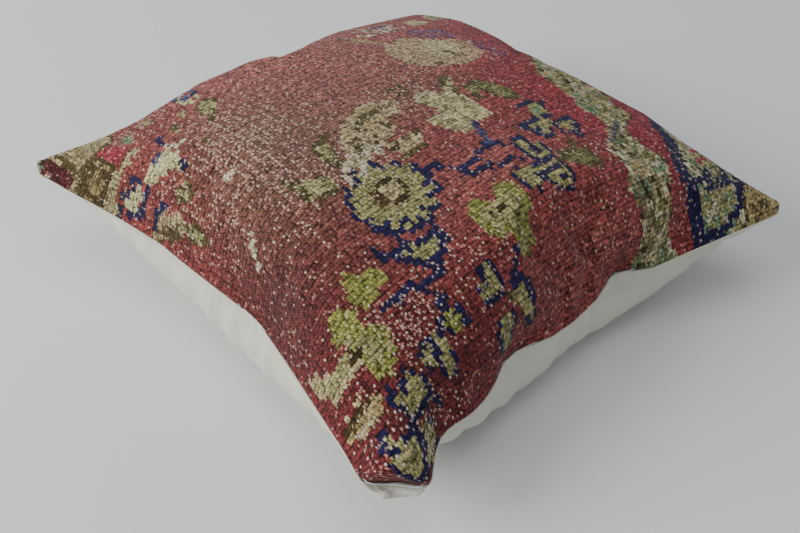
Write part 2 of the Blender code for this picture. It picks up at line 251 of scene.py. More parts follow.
BLUNT_SHARE, BLUNT_SAG = 0.54, 0.14
UNDERSIDE_EASE, EAR_OUT = 0.0016, 0.0045
from_left, from_front = (1 + across_x) * CUT / 2, (1 + across_y) * CUT / 2
for grid in (rug_grid, cotton_grid):
    for side_x, side_y, depth in ((-1, -1, 0.040), (1, -1, 0.012), (-1, 1, 0.014), (1, 1, 0.012)):
        blunt(grid, side_x, side_y, depth)
    for side in (-1, 1):
        reach = np.exp(-(((2 - side * (across_x - across_y)) * CUT / 2 / 0.06) ** 2))
        grid[..., 0] += side * EAR_OUT * reach
        grid[..., 1] -= side * EAR_OUT * reach
    ear = np.exp(-(((from_left - 0.030) / 0.015) ** 2) - (from_front / 0.030) ** 2)
    fold = np.exp(-(((from_left - 0.064) / 0.018) ** 2) - (from_front / 0.040) ** 2)
    grid[..., 1] += 0.0045 * fold - 0.009 * ear
    grid[..., 2] += 0.002 * fold - 0.002 * ear
    other_ear = np.exp(-(((from_front - 0.020) / 0.014) ** 2) - (from_left / 0.030) ** 2)
    grid[..., 0] -= 0.006 * other_ear
    grid[..., 1] -= 0.002 * other_ear
    height = grid[..., 2]
    grid[..., 2] = (height + np.sqrt(height**2 + UNDERSIDE_EASE**2)) / 2


def finer(grid, rows, columns):
    """The grid's smooth surface, read at other shares (0 to 1) down its rows and along them."""

    def weights(places):
        last = CLOTH_STEPS
        matrix = np.zeros((len(places), last + 3))
        spot = np.clip(places, 0, 1) * last
        cell = np.minimum(spot.astype(int), last - 1)
        t = spot - cell
        # Catmull-Rom, on a grid with one more row beyond each end
        parts = (
            (-t + 2 * t**2 - t**3) / 2,
            (2 - 5 * t**2 + 3 * t**3) / 2,
            (t + 4 * t**2 - 3 * t**3) / 2,
            (-(t**2) + t**3) / 2,
        )
        for step, part in enumerate(parts):
            matrix[np.arange(len(places)), cell + step] = part
        inner = matrix[:, 1:-1].copy()
        inner[:, 0] += 2 * matrix[:, 0]
        inner[:, 1] -= matrix[:, 0]
        inner[:, -1] += 2 * matrix[:, -1]
        inner[:, -2] -= matrix[:, -1]
        return inner

    down = np.tensordot(weights(rows), grid, axes=(1, 0))
    return np.moveaxis(np.tensordot(weights(columns), down, axes=(1, 1)), 0, 1)


def normals_of(surface):
    """Unit normals on the side that faces +Z where the cloth lies flat."""
    normal = np.cross(np.gradient(surface, axis=1), np.gradient(surface, axis=0))
    return normal / np.maximum(np.linalg.norm(normal, axis=-1, keepdims=True), 1e-12)

# ---------------------------------------------------------------- the rug front
# A square cut from an old hand-knotted wool rug. Rows of knots run along X, each knot shows as
# two grains of wool side by side, and its flowers are drawn knot by knot, so their outlines
# are stepped. The wool is worn short, and in the worn places the pale foundation shows.

GRAINS, ROWS = 120, 90  # grains of wool along a row, and rows; two grains make a knot
PANE = 67  # the drawing's own squares along a side, about 6 mm each
RUG_RELIEF = 0.00028
RUG_WALL = 0.0030
SEAM_ROLL = 0.0035  # how far from the seam the panel's edge starts to roll under

DYES = {
    "madder": (0.235, 0.036, 0.037),
    "dark madder": (0.095, 0.020, 0.020),
    "rose": (0.350, 0.125, 0.105),
    "worn rose": (0.215, 0.110, 0.075),
    "bright red": (0.310, 0.036, 0.052),
    "navy": (0.013, 0.010, 0.060),
    "faded navy": (0.055, 0.058, 0.140),
    "violet": (0.110, 0.065, 0.150),
    "olive": (0.290, 0.260, 0.105),
    "leaf green": (0.180, 0.180, 0.060),
    "bright green": (0.240, 0.240, 0.055),
    "sea green": (0.140, 0.220, 0.125),
    "pale yellow": (0.510, 0.465, 0.240),
    "sand": (0.420, 0.345, 0.180),
    "cream": (0.520, 0.460, 0.310),
    "khaki": (0.340, 0.260, 0.110),
    "dark brown": (0.060, 0.036, 0.010),
    "bark": (0.095, 0.070, 0.024),
}

draw = np.random.default_rng(7)
knot_x, knot_y = np.meshgrid(
    (np.arange(GRAINS) + 0.5) * PANE / GRAINS, (np.arange(ROWS) + 0.5) * PANE / ROWS
)
knot_x = knot_x + draw.normal(0, 0.06, knot_x.shape)
knot_y = knot_y + draw.normal(0, 0.06, knot_y.shape)
dye = np.empty((ROWS, GRAINS, 3))
dye[:] = DYES["madder"]


def rounded(points, steps=5):
    """A closed outline that passes through the points in smooth curves."""
    points = np.array(points, float)
    before, after = np.roll(points, 1, axis=0), np.roll(points, -1, axis=0)
    beyond = np.roll(points, -2, axis=0)
    curve = []
    for t in np.arange(steps) / steps:
        curve.append(
            points
            + (after - before) * t / 2
            + (2 * before - 5 * points + 4 * after - beyond) * t**2 / 2
            + (3 * points - before - 3 * after + beyond) * t**3 / 2
        )
    return np.stack(curve, axis=1).reshape(-1, 2)


def inside(outline):
    found = np.zeros(knot_x.shape, bool)
    for (ax, ay), (bx, by) in zip(outline, np.roll(outline, -1, axis=0)):
        if ay != by:
            spans = (ay > knot_y) != (by > knot_y)
            found ^= spans & (knot_x < ax + (knot_y - ay) * (bx - ax) / (by - ay))
    return found


def near(points, reach):
    """The knots within reach of an open line, which is never thinner than one knot."""
    reach = max(reach, 0.40)
    points = np.array(points, float)
    found = np.zeros(knot_x.shape, bool)
    for (ax, ay), (bx, by) in zip(points[:-1], points[1:]):
        length = max((bx - ax) ** 2 + (by - ay) ** 2, 1e-9)
        along = np.clip(((knot_x - ax) * (bx - ax) + (knot_y - ay) * (by - ay)) / length, 0, 1)
        away = np.hypot(knot_x - ax - along * (bx - ax), knot_y - ay - along * (by - ay))
        found |= away < reach
    return found


def lay(where, colour, strength=1.0):
    dye[where] = dye[where] * (1 - strength) + np.array(DYES[colour]) * strength


def patch(colour, *points, edge=None, width=0.42, strength=1.0):
    """A filled shape, with an outline in another wool if it has one."""
    outline = rounded(points)
    lay(inside(outline), colour, strength)
    if edge:
        rim = near(np.vstack([outline, outline[:1]]), width + 0.10)
        lay(rim & ~inside(outline), edge)


def line(colour, *points, width=0.36, strength=1.0):
    lay(near(points, width), colour, strength)


def spots(colour, *points, size=0.45):
    for x, y in points:
        lay(np.hypot(knot_x - x, knot_y - y) < size, colour)


def speckle(colour, chance, *points, strength=1.0):
    """Scattered knots of one wool inside a shape."""
    mask = inside(rounded(points)) & (draw.random(knot_x.shape) < chance)
    lay(mask, colour, strength)


def shade(colour, x, y, reach_x, reach_y, strength):
    """A soft change of the wool's colour round a point, from dye lots and wear."""
    away = ((knot_x - x) / reach_x) ** 2 + ((knot_y - y) / reach_y) ** 2
    share = (strength * np.exp(-away))[..., None]
    dye[:] = dye * (1 - share) + np.array(DYES[colour]) * share


# the field: deep at the front and right, worn to rose over the middle and the left
shade("dark madder", 6, 23, 14, 13, 0.95)
shade("rose", 38, 5, 14, 7, 0.45)
shade("dark madder", 12, 5, 14, 7, 0.6)
shade("rose", 30, 50, 17, 14, 0.85)
shade("rose", 30, 38, 12, 6, 0.6)
shade("worn rose", 17, 38, 11, 12, 0.95)
shade("worn rose", 18, 31, 8, 5, 0.6)
shade("worn rose", 33, 35, 8, 5, 0.6)
shade("rose", 30, 20, 16, 7, 0.45)
shade("bright red", 48, 23, 4, 12, 0.7)
shade("rose", 46, 60, 12, 8, 0.6)

# how much of the foundation shows through: most in the worn middle, the left and the front corner
bare_map = np.full(knot_x.shape, 0.10)
for x, y, reach_x, reach_y, most in (
    (13, 41, 9, 9, 0.75), (17, 30, 9, 7, 0.45), (26, 30, 8, 5, 0.35), (12, 11, 7, 4, 0.75),
    (6, 3, 8, 4, 0.65), (22, 13, 8, 5, 0.40), (36, 34, 10, 5, 0.35), (48, 12, 5, 12, 0.30),
    (44, 42, 9, 8, 0.35), (12, 58, 8, 8, 0.30), (60, 8, 8, 8, 0.45), (36, 17, 10, 6, 0.22),
):
    away = ((knot_x - x) / reach_x) ** 2 + ((knot_y - y) / reach_y) ** 2
    bare_map = np.maximum(bare_map, most * np.exp(-away))

# the daisy
reach = np.hypot(knot_x - 21.3, (knot_y - 22.9) * 1.02)
turn = np.arctan2(knot_y - 22.9, knot_x - 21.3)
petal = np.cos(14 * turn)
edge_reach = 4.35 + 0.35 * petal
lay(reach < edge_reach + 0.65, "navy")
lay(reach < edge_reach, "olive")
lay((reach < 4.9) & (reach > 3.35) & (petal < -0.72), "navy")
lay((reach < 5.6) & (reach > 4.2) & (petal < -0.5) & (knot_y > 26.5) & (knot_x < 22), "cream")
line("dark brown", (20.2, 22.6), (20.2, 24.2), width=0.45)
line("dark brown", (23.2, 22.6), (23.2, 24.2), width=0.45)
line("dark brown", (21.0, 21.9), (22.4, 21.9), width=0.32)
line("dark brown", (20.9, 24.9), (22.5, 24.9), width=0.32)
patch("sand", (20.9, 22.5), (22.5, 22.5), (22.5, 24.2), (20.9, 24.2))

# leaves about the daisy
patch("olive", (14.5, 31.3), (15.7, 30.4), (17.5, 28.8), (18.0, 27.9), (16, 27.3), (14.8, 27.6))
line("bark", (14.2, 32), (14.5, 29.5), (14.3, 27.8), width=0.36)
line("bark", (15.2, 27.0), (17.2, 27.1), width=0.3)
patch("olive", (19.6, 30.6), (19.3, 32), (20, 33.6), (20.9, 33.2), (20.8, 31.6), edge="bark",
    width=0.33)
line("bark", (20.6, 33.6), (21.9, 34.4), width=0.38)
line("bark", (20.0, 30.3), (20.0, 28.8), width=0.3)

# the worn bloom behind it
patch("sand", (20.3, 29), (22, 31.5), (22.5, 33), (24.5, 35), (28, 36.2), (31, 35.8), (32.2, 34.5),
      (31, 33), (28.6, 32.2), (29, 31), (27, 29.6), (22.5, 28.6), strength=0.85)
patch("sand", (25.5, 28.6), (29.5, 28.8), (30.1, 27.6), (28, 26.7), (26, 27.1), strength=0.9)
speckle("bark", 0.45, (25.2, 33), (26, 34.5), (28, 34.6), (27.6, 33.2), (26.4, 32.5))
speckle("bark", 0.5, (22.6, 30.2), (23.2, 31.8), (25.6, 31.8), (26.2, 30.6), (24.4, 30))
speckle("bark", 0.5, (26.8, 28.3), (27.2, 29), (30.4, 28.8), (30.4, 28.1))
speckle("khaki", 0.35, (23.5, 32), (25.5, 35), (30, 35.4), (29, 33), (27, 31.5))
speckle("cream", 0.5, (19.8, 28), (20.5, 30), (25, 30.5), (25.5, 28.6), (22, 27.8))
line("bark", (27.0, 34.7), (31.3, 34.6), width=0.36)
line("bark", (28.2, 32.6), (28.4, 31.8), width=0.3)
line("bark", (26.1, 26.4), (29.2, 26.2), width=0.34)
spots("dark brown", (26.3, 27.8))

# the pale yellow flower and its twig
patch("pale yellow", (32.4, 29.3), (34, 30), (35, 30.3), (34.8, 31.8), (34, 33), (34.8, 34.3),
      (36.5, 34.1), (38, 32.8), (39.5, 33), (39.8, 30), (39.8, 27), (38.5, 25.8), (37.2, 26.4),
      (36, 25.6), (34.8, 25), (33.5, 26), (32.8, 27.6), strength=0.85)
speckle("olive", 0.35, (33, 28), (35.5, 33.5), (39, 31), (38.5, 26.5), (34.5, 25.8))
patch("sand", (38.4, 32.4), (39, 34), (40.6, 35.3), (41.2, 34.7), (40, 33.2), (39.4, 32))
line("bark", (38.9, 33.6), (39.6, 34.8), (41.2, 35.3), width=0.3)
line("bark", (39.6, 31.8), (40.1, 33.4), width=0.3)
line("bark", (33.6, 36.8), (34.0, 35.6), width=0.3)
line("bark", (34.9, 36.9), (34.9, 35.6), width=0.3)

# the curved green leaf
patch("leaf green", (41, 30.7), (41.3, 32), (43, 32.2), (44.2, 31), (44.9, 28.5), (44.6, 27.4),
      (43.4, 28.2), (42.9, 29), (43.3, 30), (42.4, 31), edge="bark", width=0.36)
spots("bark", (40.7, 29.4), (40.8, 30.1))

# the blue vine and its two outlined flowers
line("navy", (26.8, 23.2), (28.1, 23.1))
line("navy", (28.4, 22.4), (28.8, 21.6), (32.0, 21.3))
spots("navy", (29.5, 20.7))
line("navy", (30.2, 19.7), (35.4, 19.0))
line("navy", (32.7, 22.0), (36.1, 21.6))
line("faded navy", (34.8, 22.4), (35.6, 23.8), (36.6, 26.4))
spots("navy", (34.5, 22.6), (36.6, 25.8), (36.1, 18.1), (37.2, 17.9))
patch("olive", (44.2, 25.2), (45.6, 25.3), (45.9, 24), (45.1, 23), (44.4, 21.6), (45, 20.8),
      (47, 21), (46.5, 19.4), (45.9, 18.6), (45.2, 18.9), (45.1, 20), (43.8, 20.6), (42.5, 20.1),
      (41.6, 20.4), (42.4, 21.1), (41, 21.8), (41.2, 22.4), (42.5, 22.4), (43.4, 23), (43.5, 24.2))
patch("sea green", (43.8, 23.6), (44.6, 24.8), (45.3, 24.2), (44.6, 23.2))
line("navy", (43.3, 25.6), (44.1, 25.7))
line("navy", (44.8, 25.8), (45.4, 25.6))
line("navy", (46.3, 24.9), (46.3, 23.9), width=0.36)
line("navy", (44.5, 22.8), (45.7, 22.8))
line("navy", (41.2, 22.9), (43, 22.9), (43.3, 23.7))
line("navy", (40.8, 22.4), (40.8, 21.7), width=0.36)
line("navy", (41.2, 21.2), (42.3, 21.1))
spots("navy", (41.2, 20.5), (43.3, 20.4), (44.3, 20.1))
line("navy", (41.6, 19.6), (42.9, 19.5))
line("navy", (44.4, 21.4), (47.2, 21.3))
line("navy", (47.1, 20.4), (46.6, 19.2), (45.7, 18.1), (45.0, 19.2))
patch("olive", (37.4, 17.6), (37.4, 20), (38, 21.1), (38.7, 20.4), (38.7, 18.8), (39.2, 19.3),
      (39.8, 18.5), (39.5, 17.6), edge="navy", width=0.4)
line("navy", (38.6, 18.1), (38.5, 19), width=0.32)
patch("olive", (33.7, 14.4), (33.7, 16.8), (35.4, 17), (36.3, 16.3), (39.3, 16.4), (39.3, 15.8),
      (36, 15.8), (35, 14.3), edge="navy", width=0.36)
line("navy", (35.9, 17.0), (39.4, 16.9))
line("navy", (35.6, 15.2), (39.2, 15.1))
patch("olive", (36.3, 14.3), (37, 14.8), (39, 14.8), (39, 13.7), (37.9, 12.6), (36.7, 13.4),
      edge="navy", width=0.36)
spots("navy", (38.0, 13.9), size=0.4)
patch("leaf green", (40.4, 15.4), (42, 16), (44, 16), (44.2, 14.6), (43.5, 13.7), (41.5, 14.4),
      edge="bark", width=0.33)
line("bark", (39.4, 16.3), (43, 16.5), (44, 18.4), width=0.33)
spots("bark", (43.9, 12.9))

# the butterfly flower
patch("bright green", (25.8, 16), (26.5, 17.2), (28, 17.1), (28.6, 15.6), (29.3, 15.2), (30, 16.5),
      (31.3, 17.2), (32.2, 16), (32.3, 13), (31, 12.2), (30.8, 10.3), (29.2, 9.1), (28, 9.4),
      (28.2, 11), (27.8, 12), (26.2, 12.3), (25.8, 14))
patch("olive", (26.6, 15.6), (28, 15.8), (30, 15.4), (31.6, 15.4), (31.2, 13.4), (29.4, 12.2),
      (29.6, 10.2), (28.8, 10), (28.6, 12.2), (26.8, 13.2))
spots("dark brown", (29.0, 14.6), size=0.5)
spots("bark", (28.9, 11.6), (29.9, 13.0), (27.6, 14.6), size=0.35)
line("navy", (27.4, 10.5), (26.4, 9.2))
line("navy", (26.2, 8.9), (25.4, 8.7))

# the big lobed flower at the front left
patch("sand", (1, 16.1), (2.3, 15.7), (3.2, 14.3), (4.5, 13.6), (6.5, 13.7), (8, 13.7), (7.6, 11.4),
      (6, 10.9), (3.2, 11), (2, 12), (1.3, 14))
patch("olive", (1.6, 15.2), (3.6, 13.4), (7.4, 13.2), (7.2, 12), (3.2, 11.8), (2.2, 13))
patch("bright green", (10.2, 16.5), (10.8, 18.5), (11.8, 18.7), (12.8, 17.8), (14.3, 17.5),
      (14.9, 16.1), (13.2, 15.6), (12.5, 14.8), (11, 14.7), (10.3, 15.4))
patch("bright green", (6, 14.4), (6.5, 15.6), (7.6, 17.2), (8.8, 17), (9.5, 15.8), (10.3, 15.5),
      (9.3, 14.5), (8, 13.8))
patch("bright green", (8, 13.8), (10.5, 13.4), (10.9, 11.5), (10.2, 9.5), (9, 8.5), (7.9, 8.9),
      (7.2, 10.3), (7.2, 12))
patch("olive", (8, 13), (9.4, 12.8), (9.8, 11), (8.8, 10), (7.9, 11))
patch("dark brown", (6.2, 12), (6.4, 12.9), (7.9, 13), (7.7, 12.2))
patch("sand", (1, 8.2), (1.6, 9.2), (5.2, 9.2), (6.5, 8.4), (6.9, 7.6), (5.5, 6.9), (2, 7.1))
line("dark brown", (1.6, 8.3), (5.6, 8.3), width=0.32)
line("khaki", (1.4, 7.6), (6.2, 7.5), width=0.26)

# the bowl leaf, its bars and the drops below them
patch("olive", (16.4, 17.2), (18, 17), (21, 16.4), (21.2, 15.3), (20, 14.4), (18.6, 14.6), (17, 16))
line("navy", (15.3, 18.6), (15.6, 17.8), (18.2, 17.8), width=0.38)
line("navy", (18.2, 17.2), (21.4, 16.8), (21.5, 15.4), (20.5, 14.4), (19, 14.1), (17.3, 15.9),
     (16, 17.3), width=0.36)
line("navy", (20.3, 20.0), (20.3, 18.6), width=0.3)
line("navy", (22.0, 18.0), (22.0, 15.6), width=0.36)
line("navy", (11.9, 13.5), (15.8, 13.5), width=0.36)
line("navy", (16.1, 13.2), (16.3, 12.2), width=0.3)
line("navy", (16.8, 13.3), (18.8, 13.1), width=0.38)
line("navy", (18.8, 13.8), (19.8, 13.9), width=0.38)
speckle("navy", 0.55, (15.6, 10), (15.8, 11.8), (17.6, 11.8), (17.9, 10))
patch("bright green", (15.7, 9.2), (17.4, 9.3), (18, 8.5), (17.4, 7.8), (16, 8), edge="navy",
    width=0.4)
patch("olive", (22.5, 10.6), (23.3, 11), (23.6, 9.5), (22.9, 8.1), (21.5, 7.9), (20.9, 8.6),
      (21.3, 9.4), (22.2, 9), (22.5, 9.7), edge="navy", width=0.44)
patch("olive", (20.7, 4.9), (22, 5.8), (23, 5.3), (22.3, 4.3), (22.8, 2.8), (22, 2.3), (20.8, 3.8),
      edge="navy", width=0.44)
patch("olive", (23.4, 7), (24.7, 7.8), (26.2, 7.1), (26.4, 5), (25.6, 3.8), (24.6, 4.5), (24.2, 6))
line("navy", (24.8, 7.5), (26.6, 7.4))
line("navy", (26.7, 7.0), (26.7, 4.4), (25.9, 3.3), (24.6, 4.2), width=0.36)
spots("bark", (23.8, 6.7), size=0.4)

# the three small flowers at the front corner
patch("olive", (7.3, 6.9), (8.3, 6.4), (9.2, 7.1), (10.3, 7), (10.7, 5), (10, 4.2), (8.2, 4.6),
      (7.4, 5.8), edge="navy", width=0.36)
line("navy", (8.8, 7.2), (8.8, 6.3), width=0.3)
spots("navy", (7.6, 7.5), (9.7, 7.6))
line("navy", (7.0, 3.8), (10.6, 3.9), (11.6, 3.0))
patch("olive", (12.2, 8.2), (13, 8.2), (13, 6.4), (12.2, 6.4), edge="navy", width=0.36)
patch("olive", (13.7, 7), (14, 8.5), (14.7, 8.4), (14.8, 7), (14.2, 5.2), (13.5, 4.9),
    edge="navy", width=0.36)
patch("olive", (3.7, 3.4), (5.3, 4.1), (7, 3), (6.5, 2.2), (6, 1.2), (5, 1.3), (4, 2.1),
    edge="navy", width=0.42)
patch("olive", (6.9, 1), (7.6, 2.2), (8.6, 2.9), (9.4, 2), (8.9, 0.6), (7.5, 0.2), edge="navy",
    width=0.34)
spots("navy", (4.4, 5.7), (4.0, 4.6), (7.4, 3.2), size=0.55)
spots("olive", (4.7, 4.9), size=0.42)
line("navy", (6.1, 1.8), (7.5, 1.8))

# the worn blue and cream flowers at the left
patch("pale yellow", (5.8, 49.5), (7.5, 49.7), (9.3, 49.5), (10.2, 49.4), (9.8, 48), (10, 46.3),
      (9.3, 45.5), (8.5, 46.2), (7.3, 47.2), (6, 48.5))
speckle("cream", 0.6, (10.2, 47), (10.2, 49.4), (11.8, 49.2), (12, 47.4))
line("navy", (10.6, 52), (10.4, 50.2), width=0.36)
line("faded navy", (8.4, 49.5), (9, 49.3), width=0.36)
line("navy", (9.5, 45.1), (9.8, 46), width=0.4)
patch("pale yellow", (1, 50.8), (2.5, 52), (3.5, 51), (5.1, 50.8), (5.2, 49.7), (3.5, 49.5),
    (2, 50))
line("navy", (0.2, 52.6), (1.2, 52.5), width=0.36)
line("navy", (2.4, 52.5), (3.4, 51.8), (4, 51.2), (5.3, 51.9), (5.4, 50.2), width=0.36)
line("navy", (0.8, 51.3), (1.8, 49.3), (3, 48.9), (5.6, 48.5), width=0.33)
patch("sand", (0.2, 47), (2.5, 46.5), (4.9, 45.2), (4, 44), (5, 42.5), (2.5, 42), (0.8, 45),
    strength=0.8)
line("navy", (1.5, 46.8), (3.5, 46.3), (4.9, 45.3), width=0.36)
line("bark", (0.4, 45.6), (2.6, 42.4), width=0.3)
line("bark", (1.3, 45.6), (3.6, 42.6), width=0.3)
patch("olive", (5.8, 43.8), (7.6, 44), (8.4, 43), (7.4, 42.2), (6, 42.8))
speckle("bark", 0.4, (5.6, 44.2), (8, 44.4), (8.6, 42.6), (6, 42))
patch("olive", (3.4, 40.6), (4.4, 41), (4.6, 39), (3.8, 38.4), edge="bark", width=0.28)
line("bark", (3.9, 38.2), (4.1, 37.4), width=0.28)
patch("olive", (17.6, 52.8), (18.4, 51.5), (18, 50), (16.9, 48.8), (16.4, 49.6), (16.7, 51.6),
    edge="bark", width=0.32)
spots("bark", (16.4, 48.1), (12.8, 51.3), (13.2, 44.7), size=0.55)
speckle("olive", 0.6, (12.4, 50.4), (14.8, 53.4), (15.4, 53), (13.2, 50.6))
speckle("pale yellow", 0.55, (16, 57.5), (17.2, 62), (19, 62.2), (19.6, 60.5), (18.8, 58),
    (18.9, 55),
        (17.5, 53.7), (16.2, 55))
speckle("faded navy", 0.45, (16.2, 57), (17.2, 61.8), (19.4, 61), (19.2, 58), (18.8, 55.4),
    (16.6, 55.4))
spots("navy", (18.5, 62.2), (20.2, 60.5), (16.3, 56.6), (18.6, 55.6))
patch("olive", (21, 62), (22, 63.5), (23.5, 64.2), (23.5, 62.8), (22.3, 61.3), edge="bark",
    width=0.33)
speckle("cream", 0.6, (10.6, 38.2), (11, 39.6), (12.6, 39), (12, 37.8))
line("cream", (5.4, 29.4), (6.6, 30.2), (8.2, 31.7), width=0.28)

# the stepped border at the left corner
patch("sand", (-1, 53.2), (-1, 55), (4, 54.7), (8.2, 54.2), (8.2, 53.2), (4, 53.4))
lay((knot_x < 5.4) & (knot_y > 55) & (knot_y < 59.6), "khaki")
lay((knot_x < 9.4 - 0.4 * abs(knot_y - 62)) & (knot_y >= 59.6), "sand")
line("dark brown", (0.6, 55.4), (5.2, 55.4), (5.2, 59.4), (0.8, 59.4), (0.6, 55.4), width=0.36)
line("dark brown", (1.6, 56.6), (4.2, 56.6), (4.2, 58.4), (1.7, 58.4), width=0.3)
line("bark", (2.6, 60.2), (8.6, 60.2), (8.9, 62), (7.6, 64.8), (7.8, 67), width=0.36)
line("bark", (2.3, 60.4), (3.2, 63), (3, 67), width=0.3)
line("khaki", (4.4, 62), (6.2, 64.5), (6.4, 67), width=0.5)
shade("bark", 2.5, 58.5, 6, 6, 0.5)
patch("dark madder", (0.2, 60.6), (1.2, 60.2), (2.2, 62.4), (2.2, 64.6), (0.4, 64.8))
line("dark brown", (0.3, 64.9), (2.4, 64.9), width=0.3)
patch("sea green", (-0.5, 65.2), (1.8, 65.4), (2.0, 67.4), (-0.5, 67.4))
for x, y, green in ((8.9, 56.8, True), (12.1, 57.2, False), (11.6, 65.2, True),
    (13.6, 63.0, False)):
    patch("worn rose", (x - 1.2, y + 1), (x + 0.3, y + 1.9), (x + 1, y + 0.2), (x, y - 1.6),
        (x - 1, y - 0.6))
    patch("sea green" if green else "khaki", (x - 0.4, y + 0.5), (x + 0.3, y + 0.9),
        (x + 0.4, y - 0.5), (x - 0.2, y - 0.8))
lay((knot_x > 5.4) & (knot_x < 7.6) & (knot_y > 55) & (knot_y < 59.4) & (knot_x + knot_y < 66),
    "bright red")

# the pale worn blossom toward the back, with its violet sprays
patch("sand", (38.5, 51.5), (40, 49.5), (41.5, 47), (40, 45), (39.8, 41), (41, 38.5), (44, 37),
      (47, 36.5), (49.5, 37.5), (51, 40), (50.5, 43), (47.5, 45), (46.5, 47), (44, 47.3), (42.5,
      46.2),
      (41.5, 49), (39.5, 52), strength=0.75)
patch("pale yellow", (45, 41), (46, 45), (48, 45), (49.4, 42.4), (48, 39.6), (46, 39.4),
    strength=0.8)
line("bark", (46.4, 40.4), (46.9, 38.4), width=0.36)
line("bark", (38.6, 51.6), (39.6, 50.2), width=0.45)
line("khaki", (39.8, 50), (41.2, 47.8), width=0.36)
spots("bark", (44, 47.6), (43, 38.6), size=0.4)
speckle("violet", 0.65, (47.4, 47), (48, 49.6), (50.4, 49.2), (52.6, 46.6), (51, 44), (49.4, 45.2))
speckle("violet", 0.6, (50.4, 40), (50.6, 35.6), (51.8, 35.6), (52, 41), (51.4, 43.4))
speckle("faded navy", 0.6, (44.4, 50.4), (44.8, 54.4), (48.6, 53.8), (48, 51))
speckle("cream", 0.3, (42, 51), (43, 55), (49.6, 54.4), (49, 51))
patch("pale yellow", (51.6, 51.4), (52, 54.2), (54.4, 55.2), (54.6, 52.4), strength=0.8)
line("bark", (45.4, 61.4), (48.2, 63.4), (51.4, 65.2), width=0.5)
line("pale yellow", (46.4, 61.2), (49.4, 63.2), (52.2, 64.8), width=0.4)
speckle("faded navy", 0.5, (54, 61), (55.6, 65.6), (61.6, 66.4), (60, 62.4))
speckle("cream", 0.5, (55, 62), (56.4, 66), (60.6, 66), (59.6, 63))
patch("violet", (62.4, 60), (63, 63), (66, 63.4), (66.6, 60.4), strength=0.8)
patch("sand", (56.6, 52.6), (58.2, 57), (62.4, 58), (64.6, 54.8), (61, 51.8), strength=0.8)
speckle("sea green", 0.4, (57, 53), (58.4, 57), (62.4, 57.6), (64, 54.8), (61, 52))
patch("olive", (29.5, 57), (31, 59.5), (34, 60), (34.6, 58), (32, 56), edge="bark", width=0.33)
patch("bright green", (60.5, 42), (61.4, 46), (64.4, 47.4), (66, 44.6), (63.8, 41.4))
spots("dark brown", (63.2, 44.4), size=0.6)

# the mottled band that runs up from the right side, between bright red strips
lay((knot_x > 49) & (knot_y < 27) & (knot_x > 61 - knot_y), "bright red", 0.8)
shade("bright red", 58, 40, 7, 10, 0.8)
band = [(46, -1), (45.4, 4), (46.2, 7), (45.4, 9.5), (46.6, 11), (47, 14), (48, 16.2), (50.4, 18),
        (51, 20), (50.2, 22), (51, 25), (50.6, 28), (52, 31), (55, 34), (59, 37), (63, 38), (68,
        40),
        (68, 34), (64, 33), (61, 30), (58, 27.6), (56.8, 25.6), (57, 23), (55.8, 21), (56.4, 19),
        (55, 17.8), (52.8, 16.4), (52.6, 13), (53.8, 11.4), (52.8, 9.6), (51, 7.6), (51.2, 6.2),
        (50.2, 4.8), (50.6, 2), (51.4, -1)]
patch("sand", *band)
speckle("cream", 0.30, *band)
speckle("sea green", 0.16, *band)
speckle("khaki", 0.12, *band)
speckle("leaf green", 0.28, *band)
speckle("dark brown", 0.08, *band)
speckle("bark", 0.30, (46.4, 0), (45.8, 9), (48, 10.4), (51.4, 9.6), (50.4, 4), (49, 0),
    strength=0.7)
speckle("sea green", 0.45, (50.4, 20.6), (50.8, 24.6), (52.8, 23.6), (52.6, 21), strength=0.8)
speckle("sea green", 0.45, (46, 8.2), (46, 9.8), (47.4, 10.2), (47.4, 8.4), strength=0.8)
line("faded navy", (49, 15.8), (52.2, 18), width=0.36, strength=0.6)
speckle("sand", 0.35, (51, 25), (55, 33), (60, 36), (60, 31), (56, 25))

# the blue-bordered medallion and the khaki corner at the right
medallion = [(54.4, -1), (54.8, 4), (54.5, 8), (56, 10.6), (57.8, 13), (59, 16), (60.8, 17),
    (62.4, 16.6),
             (64.2, 14), (68, 12.4), (68, -1)]
patch("olive", *medallion)
speckle("sea green", 0.25, *medallion)
speckle("cream", 0.22, *medallion)
line("bright red", (58.8, 10.6), (61, 11.6), (63.2, 12.6), width=0.5)
line("bright red", (58.6, 9.2), (61.4, 8.9), (63.4, 9.5), width=0.4)
line("navy", (54.2, -1), (54.6, 4), (54.3, 8), (55.6, 10.5), (57.4, 12.8), (58.7, 16), (60.8, 17.2),
     (62.5, 16.8), (64.3, 14.2), (68, 12.8), width=0.95)
line("navy", (55.4, 7.0), (58.0, 6.9), (58.2, 8.0), width=0.42)
line("navy", (57.2, 5.9), (60, 5.7), (61.2, 7.5), (63.4, 7.3), (68, 9.2), width=0.6)
patch("khaki", (60, -1), (61.4, 2), (62.2, 4.6), (64, 5.1), (68, 5), (68, -1))
speckle("bark", 0.25, (60.6, -1), (62, 4.4), (68, 4.8), (68, -1))
line("navy", (54.6, 0.6), (57.6, 0.7), (60.2, 2.2), (61.4, 4.8), (63.4, 5.8), (68, 5.8), width=0.55)
patch("sand", (62.4, 17.6), (64.4, 23), (68, 26), (68, 15.4), (65, 15.6), strength=0.85)
speckle("cream", 0.35, (62.4, 17.6), (64.4, 23), (68, 26), (68, 15.4), (65, 15.6))
patch("bright red", (62, 18), (63.2, 22.6), (64.6, 19.4), (65.4, 16.6), (63.6, 16.6))
patch("sea green", (65.4, -1), (66, 1.6), (68, 2), (68, -1), strength=0.7)


